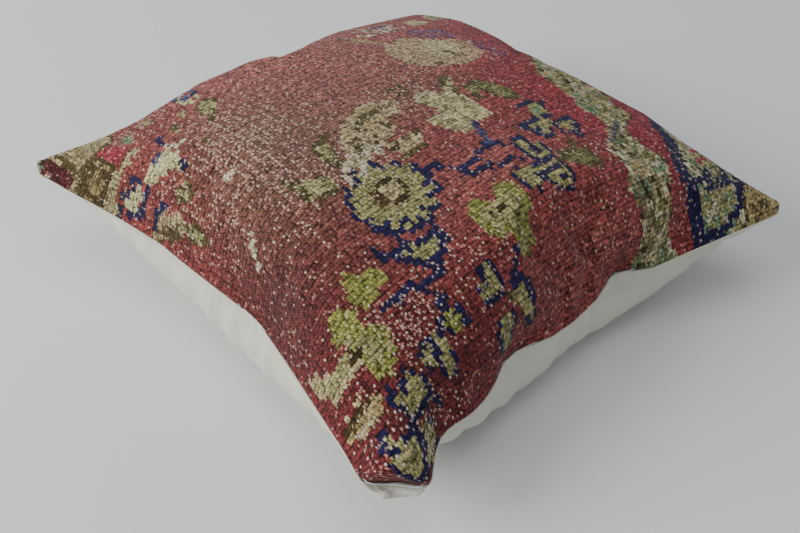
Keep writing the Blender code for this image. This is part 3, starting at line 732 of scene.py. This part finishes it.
class Wire:
    """What passes between a material's nodes. Python's operators on it add Math nodes."""

    def __init__(self, finish, socket):
        self.finish, self.socket = finish, socket

    def math(self, operation, *others):
        return self.finish.node("Math", dict(enumerate((self, *others))), operation=operation)

    def __add__(self, other):
        return self.math("ADD", other)

    def __sub__(self, other):
        return self.math("SUBTRACT", other)

    def __mul__(self, other):
        return self.math("MULTIPLY", other)

    def __truediv__(self, other):
        return self.math("DIVIDE", other)

    def __pow__(self, other):
        return self.math("POWER", other)

    def __rsub__(self, other):
        return self.finish.node("Math", {0: other, 1: self}, operation="SUBTRACT")

    __radd__, __rmul__ = __add__, __mul__

    def ridges(self, pitch):
        """A round ridge, 0 to 1 and back, in each pitch."""
        return ((self / pitch).math("FRACT") * math.pi).math("SINE")

    def step(self, low, high):
        """0 at low, 1 at high, smooth between."""
        places = {"Value": self, "From Min": low, "From Max": high}
        return self.finish.node("MapRange", places, interpolation_type="SMOOTHSTEP")


class Finish:
    """A material being made. Settings that are the same all over go straight to its shader."""

    def __init__(self, name, **settings):
        self.material = bpy.data.materials.new(name)
        self.material.use_nodes = True
        self.nodes = self.material.node_tree.nodes
        self.shader = self.nodes["Principled BSDF"]
        for socket, value in settings.items():
            self.shader.inputs[socket.replace("_", " ")].default_value = value

    def feed(self, socket, value):
        if isinstance(value, Wire):
            self.material.node_tree.links.new(value.socket, socket)
        elif value is not None:
            socket.default_value = value

    def node(self, kind, inputs=None, output=0, stops=None, **settings):
        made = self.nodes.new("ShaderNode" + kind)
        for setting, value in settings.items():
            setattr(made, setting, value)
        for index, (place, colour) in enumerate(stops or ()):
            ramp = made.color_ramp.elements
            stop = ramp[index] if index < 2 else ramp.new(place)
            stop.position, stop.color = place, (*colour, 1)
        for socket, value in (inputs or {}).items():
            self.feed(made.inputs[socket], value)
        return Wire(self, made.outputs[output])

    def cloth(self):
        """(across, along, both) on the flat cut, in metres."""
        both = self.node("UVMap", uv_map="cloth")
        parts = [self.node("SeparateXYZ", {0: both}, output=axis) for axis in (0, 1)]
        return *parts, both

    def noise(self, place, scale, detail=2.0, rough=0.5):
        inputs = {"Vector": place, "Scale": scale, "Detail": detail, "Roughness": rough}
        return self.node("TexNoise", inputs)

    def stretched(self, place, scale):
        return self.node("Mapping", {"Vector": place, "Scale": scale})

    def mix(self, share, first, second, blend="MIX"):
        inputs = {0: share, 6: first, 7: second}
        return self.node("Mix", inputs, output=2, data_type="RGBA", blend_type=blend)

    def finished(self, colour=None, roughness=None, height=None, strength=1.0, distance=0.001):
        if colour is not None:
            self.feed(self.shader.inputs["Base Color"], colour)
        if roughness is not None:
            self.feed(self.shader.inputs["Roughness"], roughness)
        if height is not None:
            inputs = {"Height": height, "Strength": strength, "Distance": distance}
            self.feed(self.shader.inputs["Normal"], self.node("Bump", inputs))
        return self.material


WARP, WEFT = CUT / GRAINS, CUT / ROWS
NAP_ACROSS, NAP_ALONG = 1.85, 1.6  # tips of wool to a grain, each way
wool = Finish("wool_rug", Specular_IOR_Level=0.2, Sheen_Weight=0.08, Sheen_Roughness=0.45)
across, along, place = wool.cloth()
row = along / WEFT * NAP_ALONG + (across / 0.021).math("SINE") * 0.12
column = across / WARP * NAP_ACROSS + (row.math("FRACT") - 0.5) * 0.5
spot = wool.node("CombineXYZ", {0: column, 1: row})
tuft = {"Vector": spot, "Scale": 1.0, "Randomness": 0.55}
from_tip = wool.node("TexVoronoi", tuft, voronoi_dimensions="2D")
lot = wool.node("SeparateColor",
    {0: wool.node("TexVoronoi", tuft, output=1, voronoi_dimensions="2D")})
grain = 1 - (from_tip * 1.3).math("MINIMUM", 1.0) ** 2
fibre = wool.noise(wool.stretched(place, (1, 0.4, 1)), 4200, detail=2)
patchy = wool.noise(place, 26, detail=3)
corner_x = ((across / (2 * WARP)).math("FRACT") - 0.5).math("ABSOLUTE")
corner_y = ((along / WEFT).math("FRACT") - 0.5).math("ABSOLUTE")
gap = ((0.5 - corner_x) * 2) ** 2 + ((0.5 - corner_y) * 1.2) ** 2
cell = wool.node(
    "CombineXYZ", {0: (across / (2 * WARP) + 0.5).math("FLOOR"),
        1: (along / WEFT + 0.5).math("FLOOR")}
)
chance = wool.node("TexWhiteNoise", {"Vector": cell}, noise_dimensions="2D")
bareness = wool.node("Attribute", {}, output=2, attribute_name="bare")
bare = (bareness * patchy.step(0.30, 0.60) * 1.3 + bareness * 0.35 - chance).step(-0.04, 0.06)
speck = gap.math("SQRT").step(0.30, 0.14) * bare
dyed = wool.node("Attribute", {}, attribute_name="wool")
# Painted shade: each tuft darkens toward the gaps around it, and each row darkens toward the furrow
# between rows. The per-tuft lot and the fibre noise add the wool's own tone to the same factor.
rib = along.ridges(WEFT)
light = (grain * (fibre * 0.5 + 0.60) + lot * 0.45) ** 1.7 * (rib * 0.40 + 0.76)
shaded = wool.mix(1.0, dyed, wool.node("CombineColor", {axis: light for axis in range(3)}),
    blend="MULTIPLY")
# Painted highlight: the tops of the tufts are paled toward cream, on random tufts and on more of
# them in the worn patches.
tuft_highlight = (bareness * patchy.step(0.25, 0.65) * 0.75 + lot - 0.92).step(0.0,
    0.12) * from_tip.step(0.50, 0.15)
highlighted_wool = wool.mix(tuft_highlight * 0.6, shaded, (0.50, 0.40, 0.29, 1))
# The wool's colour: the dye with its painted shade and painted highlight, plus the worn specks of
# pale foundation.
worn = wool.mix(speck * 0.9, highlighted_wool, (0.60, 0.52, 0.40, 1))
rug_finish = wool.finished(
    worn, fibre * 0.1 + 0.85, grain + speck * 0.4 + fibre * 0.3, strength=0.8, distance=0.0007
)

knot_dye = dye * draw.normal(1.0, 0.12, (ROWS, GRAINS, 1)) * draw.normal(1.0, 0.04, (ROWS, 1, 1))


def seam_roll(surface, normal, columns, rows, reach):
    """Turns the last few millimetres of a panel under, toward the seam."""
    edge = np.minimum.outer(np.minimum(rows, 1 - rows), np.minimum(columns, 1 - columns)) * CUT
    part = np.clip(1 - edge / reach, 0, 1)
    return surface - normal * ((1 - np.sqrt(1 - part**2)) * reach * 0.3)[..., None]


def panel_mesh(name, outer, inner, upward, rows_from=0.0, rows_to=1.0):
    """A closed sheet of cloth: a fine outer face, a coarser inner face, and the edge between."""
    shape = bmesh.new()
    for surface, level in ((outer, 0.0), (inner, -0.1)):
        bmesh.ops.create_grid(
            shape,
            x_segments=surface.shape[1] - 1,
            y_segments=surface.shape[0] - 1,
            size=1.0,
            matrix=Matrix.Translation((0, 0, level)),
        )
    hidden = [face for face in shape.faces if face.verts[0].co.z < -0.05]
    bmesh.ops.reverse_faces(shape, faces=hidden)
    bmesh.ops.bridge_loops(shape, edges=[edge for edge in shape.edges if edge.is_boundary])
    if not upward:
        bmesh.ops.reverse_faces(shape, faces=shape.faces)
    mesh = mesh_from(shape, name)
    flat = points_of(mesh)
    shares = (flat[:, :2] + 1) / 2
    placed = np.empty_like(flat)
    for surface, mine in ((outer, flat[:, 2] > -0.05), (inner, flat[:, 2] <= -0.05)):
        column = np.round(shares[mine, 0] * (surface.shape[1] - 1)).astype(int)
        row = np.round(shares[mine, 1] * (surface.shape[0] - 1)).astype(int)
        placed[mine] = surface[row, column]
    mesh.vertices.foreach_set("co", placed.ravel())
    corners = np.empty(len(mesh.loops), int)
    mesh.loops.foreach_get("vertex_index", corners)
    shares[:, 1] = rows_from + shares[:, 1] * (rows_to - rows_from)
    mesh.uv_layers.new(name="cloth").uv.foreach_set("vector", (shares[corners] * CUT).ravel())
    mesh.shade_smooth()
    mesh.update()
    return mesh


def add_piece(name, mesh, finish, body="pillow"):
    """Puts a finished mesh in the scene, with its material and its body."""
    piece = bpy.data.objects.new(name, mesh)
    bpy.context.scene.collection.objects.link(piece)
    mesh.materials.append(finish)
    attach(piece, body)
    return piece


columns, rows = np.linspace(0, 1, 2 * GRAINS + 1), np.linspace(0, 1, 3 * ROWS + 1)
rug_face = finer(rug_grid, rows, columns)
rug_normal = normals_of(rug_face)
bump = np.sin(np.pi * columns * GRAINS)[None, :] ** 2 * 0.35 + np.sin(np.pi * rows * ROWS)[:,
    None] ** 2 * 0.45
knot_height = np.repeat(np.repeat(draw.random((ROWS, GRAINS)), 3, axis=0), 2, axis=1) - 0.5
bump[:-1, :-1] += knot_height * 0.5
rug_face = rug_face + rug_normal * (bump * RUG_RELIEF)[..., None]
rug_face = seam_roll(rug_face, rug_normal, columns, rows, SEAM_ROLL)
coarse = np.linspace(0, 1, 57)
rug_back = finer(rug_grid, coarse, coarse)
rug_back = rug_back - normals_of(rug_back) * RUG_WALL
rug_mesh = panel_mesh("rug_front", rug_face, rug_back, upward=True)

faces = len(rug_mesh.polygons)
starts = np.empty(faces, int)
rug_mesh.polygons.foreach_get("loop_start", starts)
counts = np.empty(faces, int)
rug_mesh.polygons.foreach_get("loop_total", counts)
cloth_uv = np.empty(len(rug_mesh.loops) * 2)
rug_mesh.uv_layers["cloth"].uv.foreach_get("vector", cloth_uv)
middle = np.add.reduceat(cloth_uv.reshape(-1, 2), starts, axis=0) / counts[:, None] / CUT
shift = draw.normal(0, 0.14, (2, faces))
grain_column = np.clip((middle[:, 0] * GRAINS + shift[0]).astype(int), 0, GRAINS - 1)
grain_row = np.clip((middle[:, 1] * ROWS + shift[1]).astype(int), 0, ROWS - 1)
colour = np.ones((faces, 4))
colour[:, :3] = np.clip(knot_dye[grain_row, grain_column], 0, 1)
dyes = rug_mesh.color_attributes.new("wool", "FLOAT_COLOR", "CORNER")
dyes.data.foreach_set("color", np.repeat(colour, counts, axis=0).ravel())
bare_share = rug_mesh.attributes.new("bare", "FLOAT", "FACE")
bare_share.data.foreach_set("value", bare_map[grain_row, grain_column])

rug = add_piece("rug_front", rug_mesh, rug_finish)
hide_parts("rug_panel")

# ---------------------------------------------------------------- the cotton back
# Plain off-white cotton canvas in two pieces, a wide one and a narrow one, that meet at the
# zip. Their edges are folded under beside the teeth and close up past the zip's ends. The
# cloth is limp, so it gathers in small puckers below the seam.

ZIP_Y, ZIP_Z, ZIP_TILT = 0.1496, 0.028, math.radians(55)
ZIP_FROM_SEAM = 0.0365
OPENING_END, CLOSED_END = 0.140, 0.148
FOLD_OPEN, FOLD_CLOSED = 0.0055, 0.0004
PUCKER_DEPTH, PUCKER_REACH = 0.0009, 0.016
COTTON_WALL = 0.0009
SEAM_GAP = 0.0001

toward_main = np.array([0.0, -math.cos(ZIP_TILT), -math.sin(ZIP_TILT)])
out_of_zip = np.array([0.0, math.sin(ZIP_TILT), -math.cos(ZIP_TILT)])
zip_share = 1 - ZIP_FROM_SEAM / CUT


def onto_zip_band(surface, rows, side=0):
    """Lays the cloth near the zip on the zip's flat band, open by the folds' distance."""
    from_zip = (zip_share - rows)[:, None] * CUT
    line_x = surface[..., 0]
    on_band = (1 - ramp(abs(from_zip), 0.014, 0.034)) * (1 - ramp(abs(line_x), 0.150, 0.176))
    target = np.stack(
        [line_x, np.full_like(line_x, ZIP_Y), np.full_like(line_x, ZIP_Z)], axis=-1
    ) + from_zip[..., None] * toward_main
    placed = surface + on_band[..., None] * (target - surface)
    opening = FOLD_OPEN + (FOLD_CLOSED - FOLD_OPEN) * ramp(abs(line_x), OPENING_END, CLOSED_END)
    opening = opening * (1 - ramp(abs(from_zip), 0.008, 0.030))
    return placed + side * opening[..., None] * toward_main


def waves(along, lengths, seed):
    """Uneven ripples of a few mixed lengths, from -1 to 1."""
    made = np.random.default_rng(seed)
    total = np.zeros_like(along)
    for length in lengths:
        phase = 2 * np.pi * (along / length + made.random())
        total += np.sin(phase + 1.3 * np.sin(along / 0.031 + 6 * made.random()))
    return total / len(lengths)


def puckered(surface, normal, columns, rows):
    """Small gathers square to each side seam, and a few longer folds out of each corner."""
    x, y = np.meshgrid(columns * CUT, rows * CUT)
    depth = np.zeros_like(x)
    for seed, along, away in ((1, x, y), (2, x, CUT - y), (3, y, x), (4, y, CUT - x)):
        fade = np.exp(-((away / PUCKER_REACH) ** 1.3)) * ramp(away, 0.0, 0.004)
        strong = 0.55 + 0.45 * waves(along, (0.11, 0.07), seed + 20)
        depth += waves(along, (0.0105, 0.0072, 0.0053), seed) * fade * strong
        longer = np.exp(-((away / (3 * PUCKER_REACH)) ** 2)) * ramp(away, 0.002, 0.012)
        depth += 1.6 * waves(along, (0.034, 0.023), seed + 10) * longer
    for seed, cx, cy in ((5, 0, 0), (6, CUT, 0), (7, 0, CUT), (8, CUT, CUT)):
        turn = np.arctan2(abs(y - cy), abs(x - cx))
        away = np.hypot(x - cx, y - cy)
        fade = ramp(away, 0.008, 0.030) * (1 - ramp(away, 0.055, 0.120))
        depth += 2.0 * np.sin(turn * 11 + seed) * np.sin(turn * 2) * fade
    depth *= ramp(abs(y - zip_share * CUT), 0.011, 0.024)
    return surface + normal * (depth * PUCKER_DEPTH)[..., None]


thread_pitch = 0.00058
cotton = Finish("cotton_cover", Specular_IOR_Level=0.2, Sheen_Weight=0.12, Sheen_Roughness=0.5)
across, along, place = cotton.cloth()
warp = across.ridges(thread_pitch)
weft = along.ridges(thread_pitch)
square = (across / thread_pitch).math("FLOOR") + (along / thread_pitch).math("FLOOR")
over = square.math("PINGPONG", 1)
weave = (warp**0.7) * (over * 0.45 + 0.55) + (weft**0.7) * (1 - over * 0.45)
slub_across = cotton.noise(cotton.stretched(place, (40, 1500, 1)), 1.0, detail=2)
slub_along = cotton.noise(cotton.stretched(place, (1500, 40, 1)), 1.0, detail=2)
slubs = slub_across * 0.5 + slub_along * 0.5
tone = cotton.noise(place, 18, detail=3)
canvas_colour = cotton.mix(tone.step(0.35, 0.7) * 0.5, (0.66, 0.64, 0.55, 1), (0.60, 0.57, 0.47, 1))
flecked = cotton.mix(slubs.step(0.62, 0.80) * 0.35, canvas_colour, (0.50, 0.46, 0.36, 1))
# Painted shade between the threads: the weave's ridges multiply the colour, darker where the
# threads dip.
canvas = cotton.mix(1.0, flecked,
    cotton.node("CombineColor", {axis: weave * 0.10 + 0.88 for axis in range(3)}), blend="MULTIPLY")
cotton_finish = cotton.finished(canvas, slubs * 0.2 + 0.78, weave * 0.6 + slubs * 0.5,
    strength=0.5, distance=0.00025)


def cotton_piece(name, rows_from, rows_to, side, steps):
    columns = np.linspace(0, 1, 241)
    rows = np.linspace(rows_from, rows_to, steps + 1)
    face = onto_zip_band(finer(cotton_grid, rows, columns), rows, side)
    normal = -normals_of(face)
    face = puckered(face, normal, columns, rows)
    face[..., 2] -= SEAM_GAP
    inner_columns = np.linspace(0, 1, 61)
    inner_rows = np.linspace(rows_from, rows_to, max(steps // 4, 8) + 1)
    back = onto_zip_band(finer(cotton_grid, inner_rows, inner_columns), inner_rows, side)
    back = back + normals_of(back) * COTTON_WALL
    mesh = panel_mesh(name, face, back, upward=False, rows_from=rows_from, rows_to=rows_to)
    return add_piece(name, mesh, cotton_finish)


main = cotton_piece("cotton_back_wide", 0.0, zip_share, 1, 216)
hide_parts("back_panel_main")
strip = cotton_piece("cotton_back_narrow", zip_share, 1.0, -1, 26)
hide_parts("back_panel_strip")

# ---------------------------------------------------------------- the sewing thread
# White polyester thread. One round of lockstitch joins rug and cotton inside the edge seam,
# another closes the insert, and a straight row on each side holds the cotton's folded edges
# to the zip's tapes. Only the two rows beside the zip show.

thread = Finish("sewing_thread", Specular_IOR_Level=0.3, Sheen_Weight=0.1)
thread_place = thread.node("TexCoord", output=3)
twist = thread.noise(thread_place, 2500, detail=1)
thread_colour = thread.mix(twist, (0.70, 0.68, 0.60, 1), (0.80, 0.78, 0.71, 1))
thread_finish = thread.finished(thread_colour, twist * 0.2 + 0.6, twist, strength=0.3,
    distance=0.0001)


def tube(name, points, radius, closed, sides=6):
    """A round thread that follows the points."""
    points = [Vector(point) for point in points]
    shape = bmesh.new()
    rings = []
    for index, point in enumerate(points):
        before = points[index - 1] if index or closed else point
        after = points[(index + 1) % len(points)] if index + 1 < len(points) or closed else point
        turn = (after - before).to_track_quat("Z", "Y").to_matrix().to_4x4()
        matrix = Matrix.Translation(point) @ turn
        made = bmesh.ops.create_circle(shape, segments=sides, radius=radius, matrix=matrix)["verts"]
        rings.append([edge for edge in {e for v in made for e in v.link_edges}])
    pairs = list(zip(rings, rings[1:])) + ([(rings[-1], rings[0])] if closed else [])
    for first, second in pairs:
        bmesh.ops.bridge_loops(shape, edges=first + second)
    if not closed:
        bmesh.ops.holes_fill(shape, edges=shape.edges, sides=sides)
    bmesh.ops.recalc_face_normals(shape, faces=shape.faces)
    mesh = mesh_from(shape, name)
    mesh.shade_smooth()
    return mesh


def seam_path(inset, upper, lower, wave, steps=120):
    """A closed round between two panels, this far in from their edge, with the stitches' wave."""
    share = inset / CUT
    along = np.linspace(share, 1 - share, steps, endpoint=False)
    low, high = np.array([share]), np.array([1 - share])
    sides = (
        (low, along, False),
        (along, high, True),
        (high, along[::-1] + (1 - 2 * share) / steps, False),
        (along[::-1] + (1 - 2 * share) / steps, low, True),
    )
    path = []
    for rows, columns, upright in sides:
        middle = (finer(upper, rows, columns) + finer(lower, rows, columns)) / 2
        path += list(middle[:, 0] if upright else middle[0])
    return [point + np.array([0, 0, wave * (-1) ** index]) for index, point in enumerate(path)]


edge_thread = add_piece(
    "edge_seam_thread",
    tube("edge_seam_thread", seam_path(0.0062, rug_grid, cotton_grid, 0.0002), 0.00035, True),
    thread_finish,
)
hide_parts("edge_stitching")

STITCH_LENGTH, STITCH_GAP, STITCH_AWAY = 0.0030, 0.0006, 0.0085
STITCHED_LENGTH, STITCH_RADIUS, STITCH_SLANT = 0.276, 0.00028, 4
zip_middle = Matrix.Translation((0, ZIP_Y, ZIP_Z))
zip_turn = Matrix(((1, 0, 0), toward_main, out_of_zip)).transposed().to_4x4()
zip_place = zip_middle @ zip_turn
for side, name in ((1, "main"), (-1, "strip")):
    shape = bmesh.new()
    count = int(STITCHED_LENGTH / (STITCH_LENGTH + STITCH_GAP))
    for index in range(count):
        middle = ((index + 0.5) / count - 0.5) * STITCHED_LENGTH
        turn = Matrix.Rotation(math.radians(90 + STITCH_SLANT * side), 4, "Y")
        where = zip_place @ Matrix.Translation((middle, side * STITCH_AWAY, STITCH_RADIUS)) @ turn
        bmesh.ops.create_uvsphere(
            shape, u_segments=6, v_segments=5, radius=1.0,
            matrix=where @ Matrix.Diagonal((STITCH_RADIUS, STITCH_RADIUS, STITCH_LENGTH / 2, 1)),
        )
    mesh = mesh_from(shape, f"zip_topstitching_{name}")
    mesh.shade_smooth()
    row = add_piece(f"zip_topstitching_{name}", mesh, thread_finish)
    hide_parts(f"zip_stitching_{name}")

# ---------------------------------------------------------------- the zip
# A No. 3 nylon coil zip in off-white: two woven tapes, a coil sewn along each, a metal slider
# with a hanging tab, two top stops and a bottom stop. The stops are pressed on metal clips.

TAPE_RIB = 0.0007
tape = Finish("zip_tape", Specular_IOR_Level=0.2, Sheen_Weight=0.1)
tape_place = tape.node("TexCoord", output=3)
rib_height = tape.node("SeparateXYZ", {0: tape_place}).ridges(TAPE_RIB)
tape_noise = tape.noise(tape_place, 900, detail=2)
# Painted shade in the grooves between the tape's ribs, with random tone from the noise on top.
tape_colour_and_rib_shade = tape.mix(rib_height * 0.5 + tape_noise * 0.3, (0.52, 0.50, 0.43, 1),
    (0.66, 0.64, 0.57, 1))
tape_finish = tape.finished(tape_colour_and_rib_shade, tape_noise * 0.2 + 0.7, rib_height, strength=0.4,
    distance=0.0002)
for name in ("main", "strip"):
    node = frame["nodes"][f"zip_tape_{name}"]
    node.data.materials.clear()
    node.data.materials.append(tape_finish)

COIL_PITCH, COIL_RADIUS, COIL_LENGTH, WIRE = 0.00130, 0.00085, 0.272, 0.00025
COIL_FACETS, COIL_AWAY, COIL_SQUEEZE = 8, 0.0014, 0.78
coil = Finish("zip_coil", Specular_IOR_Level=0.5, Coat_Weight=0.1)
coil_place = coil.node("TexCoord", output=3)
coil_noise = coil.noise(coil_place, 700, detail=2)
coil_colour = coil.mix(coil_noise, (0.66, 0.65, 0.60, 1), (0.76, 0.75, 0.70, 1))
coil_finish = coil.finished(coil_colour, coil_noise * 0.2 + 0.35, coil_noise, strength=0.1,
    distance=0.0001)
for side, name in ((1, "main"), (-1, "strip")):
    turns = int(COIL_LENGTH / COIL_PITCH)
    shape = bmesh.new()
    start_at = Matrix.Translation((0, COIL_RADIUS, 0)) @ Matrix.Rotation(math.radians(90), 4, "Y")
    wire = bmesh.ops.create_circle(shape, segments=5, radius=WIRE, matrix=start_at)["verts"]
    bmesh.ops.spin(
        shape, geom=wire + shape.edges[:], cent=(0, 0, 0), axis=(1, 0,
            0), angle=2 * math.pi * turns,
        steps=COIL_FACETS * turns, dvec=(COIL_PITCH / COIL_FACETS, 0, 0),
    )
    bmesh.ops.holes_fill(shape, edges=[edge for edge in shape.edges if edge.is_boundary], sides=6)
    squeeze = Matrix.Diagonal((1, 1, COIL_SQUEEZE, 1))
    half_pitch = COIL_PITCH / 2 if side > 0 else 0
    shift = Matrix.Translation((half_pitch - COIL_LENGTH / 2, side * COIL_AWAY, -0.0001))
    bmesh.ops.transform(shape, matrix=zip_place @ shift @ squeeze, verts=shape.verts)
    bmesh.ops.recalc_face_normals(shape, faces=shape.faces)
    mesh = mesh_from(shape, f"zip_teeth_{name}")
    mesh.shade_smooth()
    teeth = add_piece(f"zip_teeth_{name}", mesh, coil_finish)
    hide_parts(f"zip_coil_{name}")

metal = Finish("zip_metal", Metallic=1.0)
metal_place = metal.node("TexCoord", output=3)
grime = metal.noise(metal_place, 260, detail=4)
brushed = metal.noise(metal.stretched(metal_place, (400, 4000, 4000)), 1.0, detail=2)
metal_colour = metal.mix(grime.step(0.45, 0.75), (0.62, 0.60, 0.56, 1), (0.40, 0.38, 0.34, 1))
metal_finish = metal.finished(metal_colour, grime * 0.3 + 0.22, brushed, strength=0.15,
    distance=0.0001)
for name in ("zip_slider", "zip_pull_tab", "zip_top_stop_main", "zip_top_stop_strip",
    "zip_bottom_stop"):
    node = frame["nodes"][name]
    node.data.materials.clear()
    node.data.materials.append(metal_finish)
    weld = node.modifiers.new("Joined corners", "WELD")
    weld.merge_threshold = 0.00001
    soften = node.modifiers.new("Soft edges", "BEVEL")
    soften.width = 0.00016
    soften.segments = 2
    soften.limit_method = "ANGLE"

# ---------------------------------------------------------------- the insert
# A white cotton casing in two panels, sewn round its edge and stuffed with polyester fibre.
# It is a little smaller than the cover and never quite fills the corners.

SEAM_LEVEL, DIMPLE_PITCH = 0.062, 0.0022


def nested(grid, inset):
    """The same surface this far inside the cover, and further in at the corners."""
    half, room_above, room_below = box_high[0], box_high[2] - SEAM_LEVEL, SEAM_LEVEL
    corner = (grid[..., 0] * grid[..., 1] / half**2) ** 2
    share = 1 - (inset + 0.005 * corner) / half
    height = grid[..., 2] - SEAM_LEVEL
    room = np.where(height > 0, room_above, room_below)
    return np.stack(
        [grid[..., 0] * share, grid[..., 1] * share,
            SEAM_LEVEL + height * (room - inset) / room], axis=-1
    )


banded = onto_zip_band(cotton_grid, np.linspace(0, 1, CLOTH_STEPS + 1))
casing = Finish("insert_casing", Specular_IOR_Level=0.2)
across, along, place = casing.cloth()
bonded = casing.noise(place, 1400, detail=3)
dimple = across.ridges(DIMPLE_PITCH) * along.ridges(DIMPLE_PITCH)
casing_colour = casing.mix(bonded, (0.70, 0.70, 0.68, 1), (0.82, 0.82, 0.80, 1))
casing_finish = casing.finished(casing_colour, bonded * 0.2 + 0.75, dimple + bonded * 0.5,
    strength=0.3, distance=0.0002)
fine, coarse = np.linspace(0, 1, 113), np.linspace(0, 1, 57)
for name, grid, upward, node in (
    ("insert_casing_above", rug_grid, True, "insert_casing_top"),
    ("insert_casing_below", banded, False, "insert_casing_bottom"),
):
    outer = finer(nested(grid, 0.0078), fine, fine)
    inner = finer(nested(grid, 0.0084), coarse, coarse)
    outer[..., 2] += 0.0002 if upward else -0.0002
    panel = add_piece(name, panel_mesh(name, outer, inner, upward), casing_finish)
    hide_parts(node)
insert_path = seam_path(0.0062, nested(rug_grid, 0.0092), nested(banded, 0.0092), 0.0002)
insert_thread = add_piece(
    "insert_seam_thread", tube("insert_seam_thread", insert_path, 0.0003,
        True), thread_finish
)
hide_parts("insert_stitching")

fibre = Finish("fibre_fill", Specular_IOR_Level=0.2, Sheen_Weight=0.3)
fibre_place = fibre.node("TexCoord", output=3)
tufts = fibre.noise(fibre_place, 60, detail=5, rough=0.7)
strands = fibre.noise(fibre_place, 900, detail=3)
fibre_colour = fibre.mix(tufts, (0.66, 0.66, 0.65, 1), (0.86, 0.86, 0.85, 1))
fibre_finish = fibre.finished(fibre_colour, strands * 0.1 + 0.85, tufts + strands * 0.3,
    strength=0.6, distance=0.002)
fine = np.linspace(0, 1, 97)
stuffing_mesh = panel_mesh(
    "stuffing", finer(nested(rug_grid, 0.0140), fine, fine), finer(nested(banded, 0.0140), fine,
        fine), True
)
stuffing = add_piece("stuffing", stuffing_mesh, fibre_finish)
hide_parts("fibre_fill")

# ---------------------------------------------------------------- the table, the light and the view
# A pale sweep with soft daylight from the left and above.

sweep = Finish("pale_sweep", Specular_IOR_Level=0.1)
sweep_place = sweep.node("TexCoord", output=3)
sweep_tone = sweep.noise(sweep_place, 3, detail=2)
sweep_colour = sweep.mix(sweep_tone, (0.70, 0.70, 0.70, 1), (0.74, 0.74, 0.74, 1))
sweep_finish = sweep.finished(sweep_colour, sweep_tone * 0.1 + 0.85)
shape = bmesh.new()
bmesh.ops.create_grid(shape, x_segments=1, y_segments=1, size=6.0)
floor_mesh = mesh_from(shape, "floor")
floor_mesh.materials.append(sweep_finish)
floor = bpy.data.objects.new("floor", floor_mesh)
floor.location.z = float(box_low[2]) - 0.001
bpy.context.scene.collection.objects.link(floor)

world = bpy.data.worlds.new("soft_studio")
world.use_nodes = True
world.node_tree.nodes["Background"].inputs["Color"].default_value = (0.86, 0.90, 0.95, 1)
world.node_tree.nodes["Background"].inputs["Strength"].default_value = 0.50
bpy.context.scene.world = world


def soft_light(name, place, size, power, colour=(1, 1, 1)):
    light = bpy.data.lights.new(name, "AREA")
    light.shape = "DISK"
    light.size = size
    light.energy = power
    light.color = colour
    lamp = bpy.data.objects.new(name, light)
    lamp.location = place
    lamp.rotation_euler = (Vector((0, 0, 0.05)) - Vector(place)).to_track_quat("-Z", "Y").to_euler()
    bpy.context.scene.collection.objects.link(lamp)


soft_light("window", (-1.7, 0.9, 1.1), 1.3, 50, (1.0, 0.99, 0.97))
soft_light("overhead", (0.2, 0.2, 2.2), 2.0, 12)

AZIMUTH, ELEVATION, ROLL = math.radians(-43.78), math.radians(40.94), math.radians(1.72)
back = Vector((math.sin(AZIMUTH) * math.cos(ELEVATION), -math.cos(AZIMUTH) * math.cos(ELEVATION),
    math.sin(ELEVATION)))
level = Vector((math.cos(AZIMUTH), math.sin(AZIMUTH), 0))
upright = back.cross(level)
right = math.cos(ROLL) * level + math.sin(ROLL) * upright
upright = math.cos(ROLL) * upright - math.sin(ROLL) * level
camera_data = bpy.data.cameras.new("camera")
camera_data.lens, camera_data.sensor_width = 45, 36
camera = bpy.data.objects.new("camera", camera_data)
camera.matrix_world = Matrix.Translation(Vector((0.0024, 0.0068,
    -0.0176)) + back * 0.7844) @ Matrix(
    (right, upright, back)
).transposed().to_4x4()
bpy.context.scene.collection.objects.link(camera)
bpy.context.scene.camera = camera
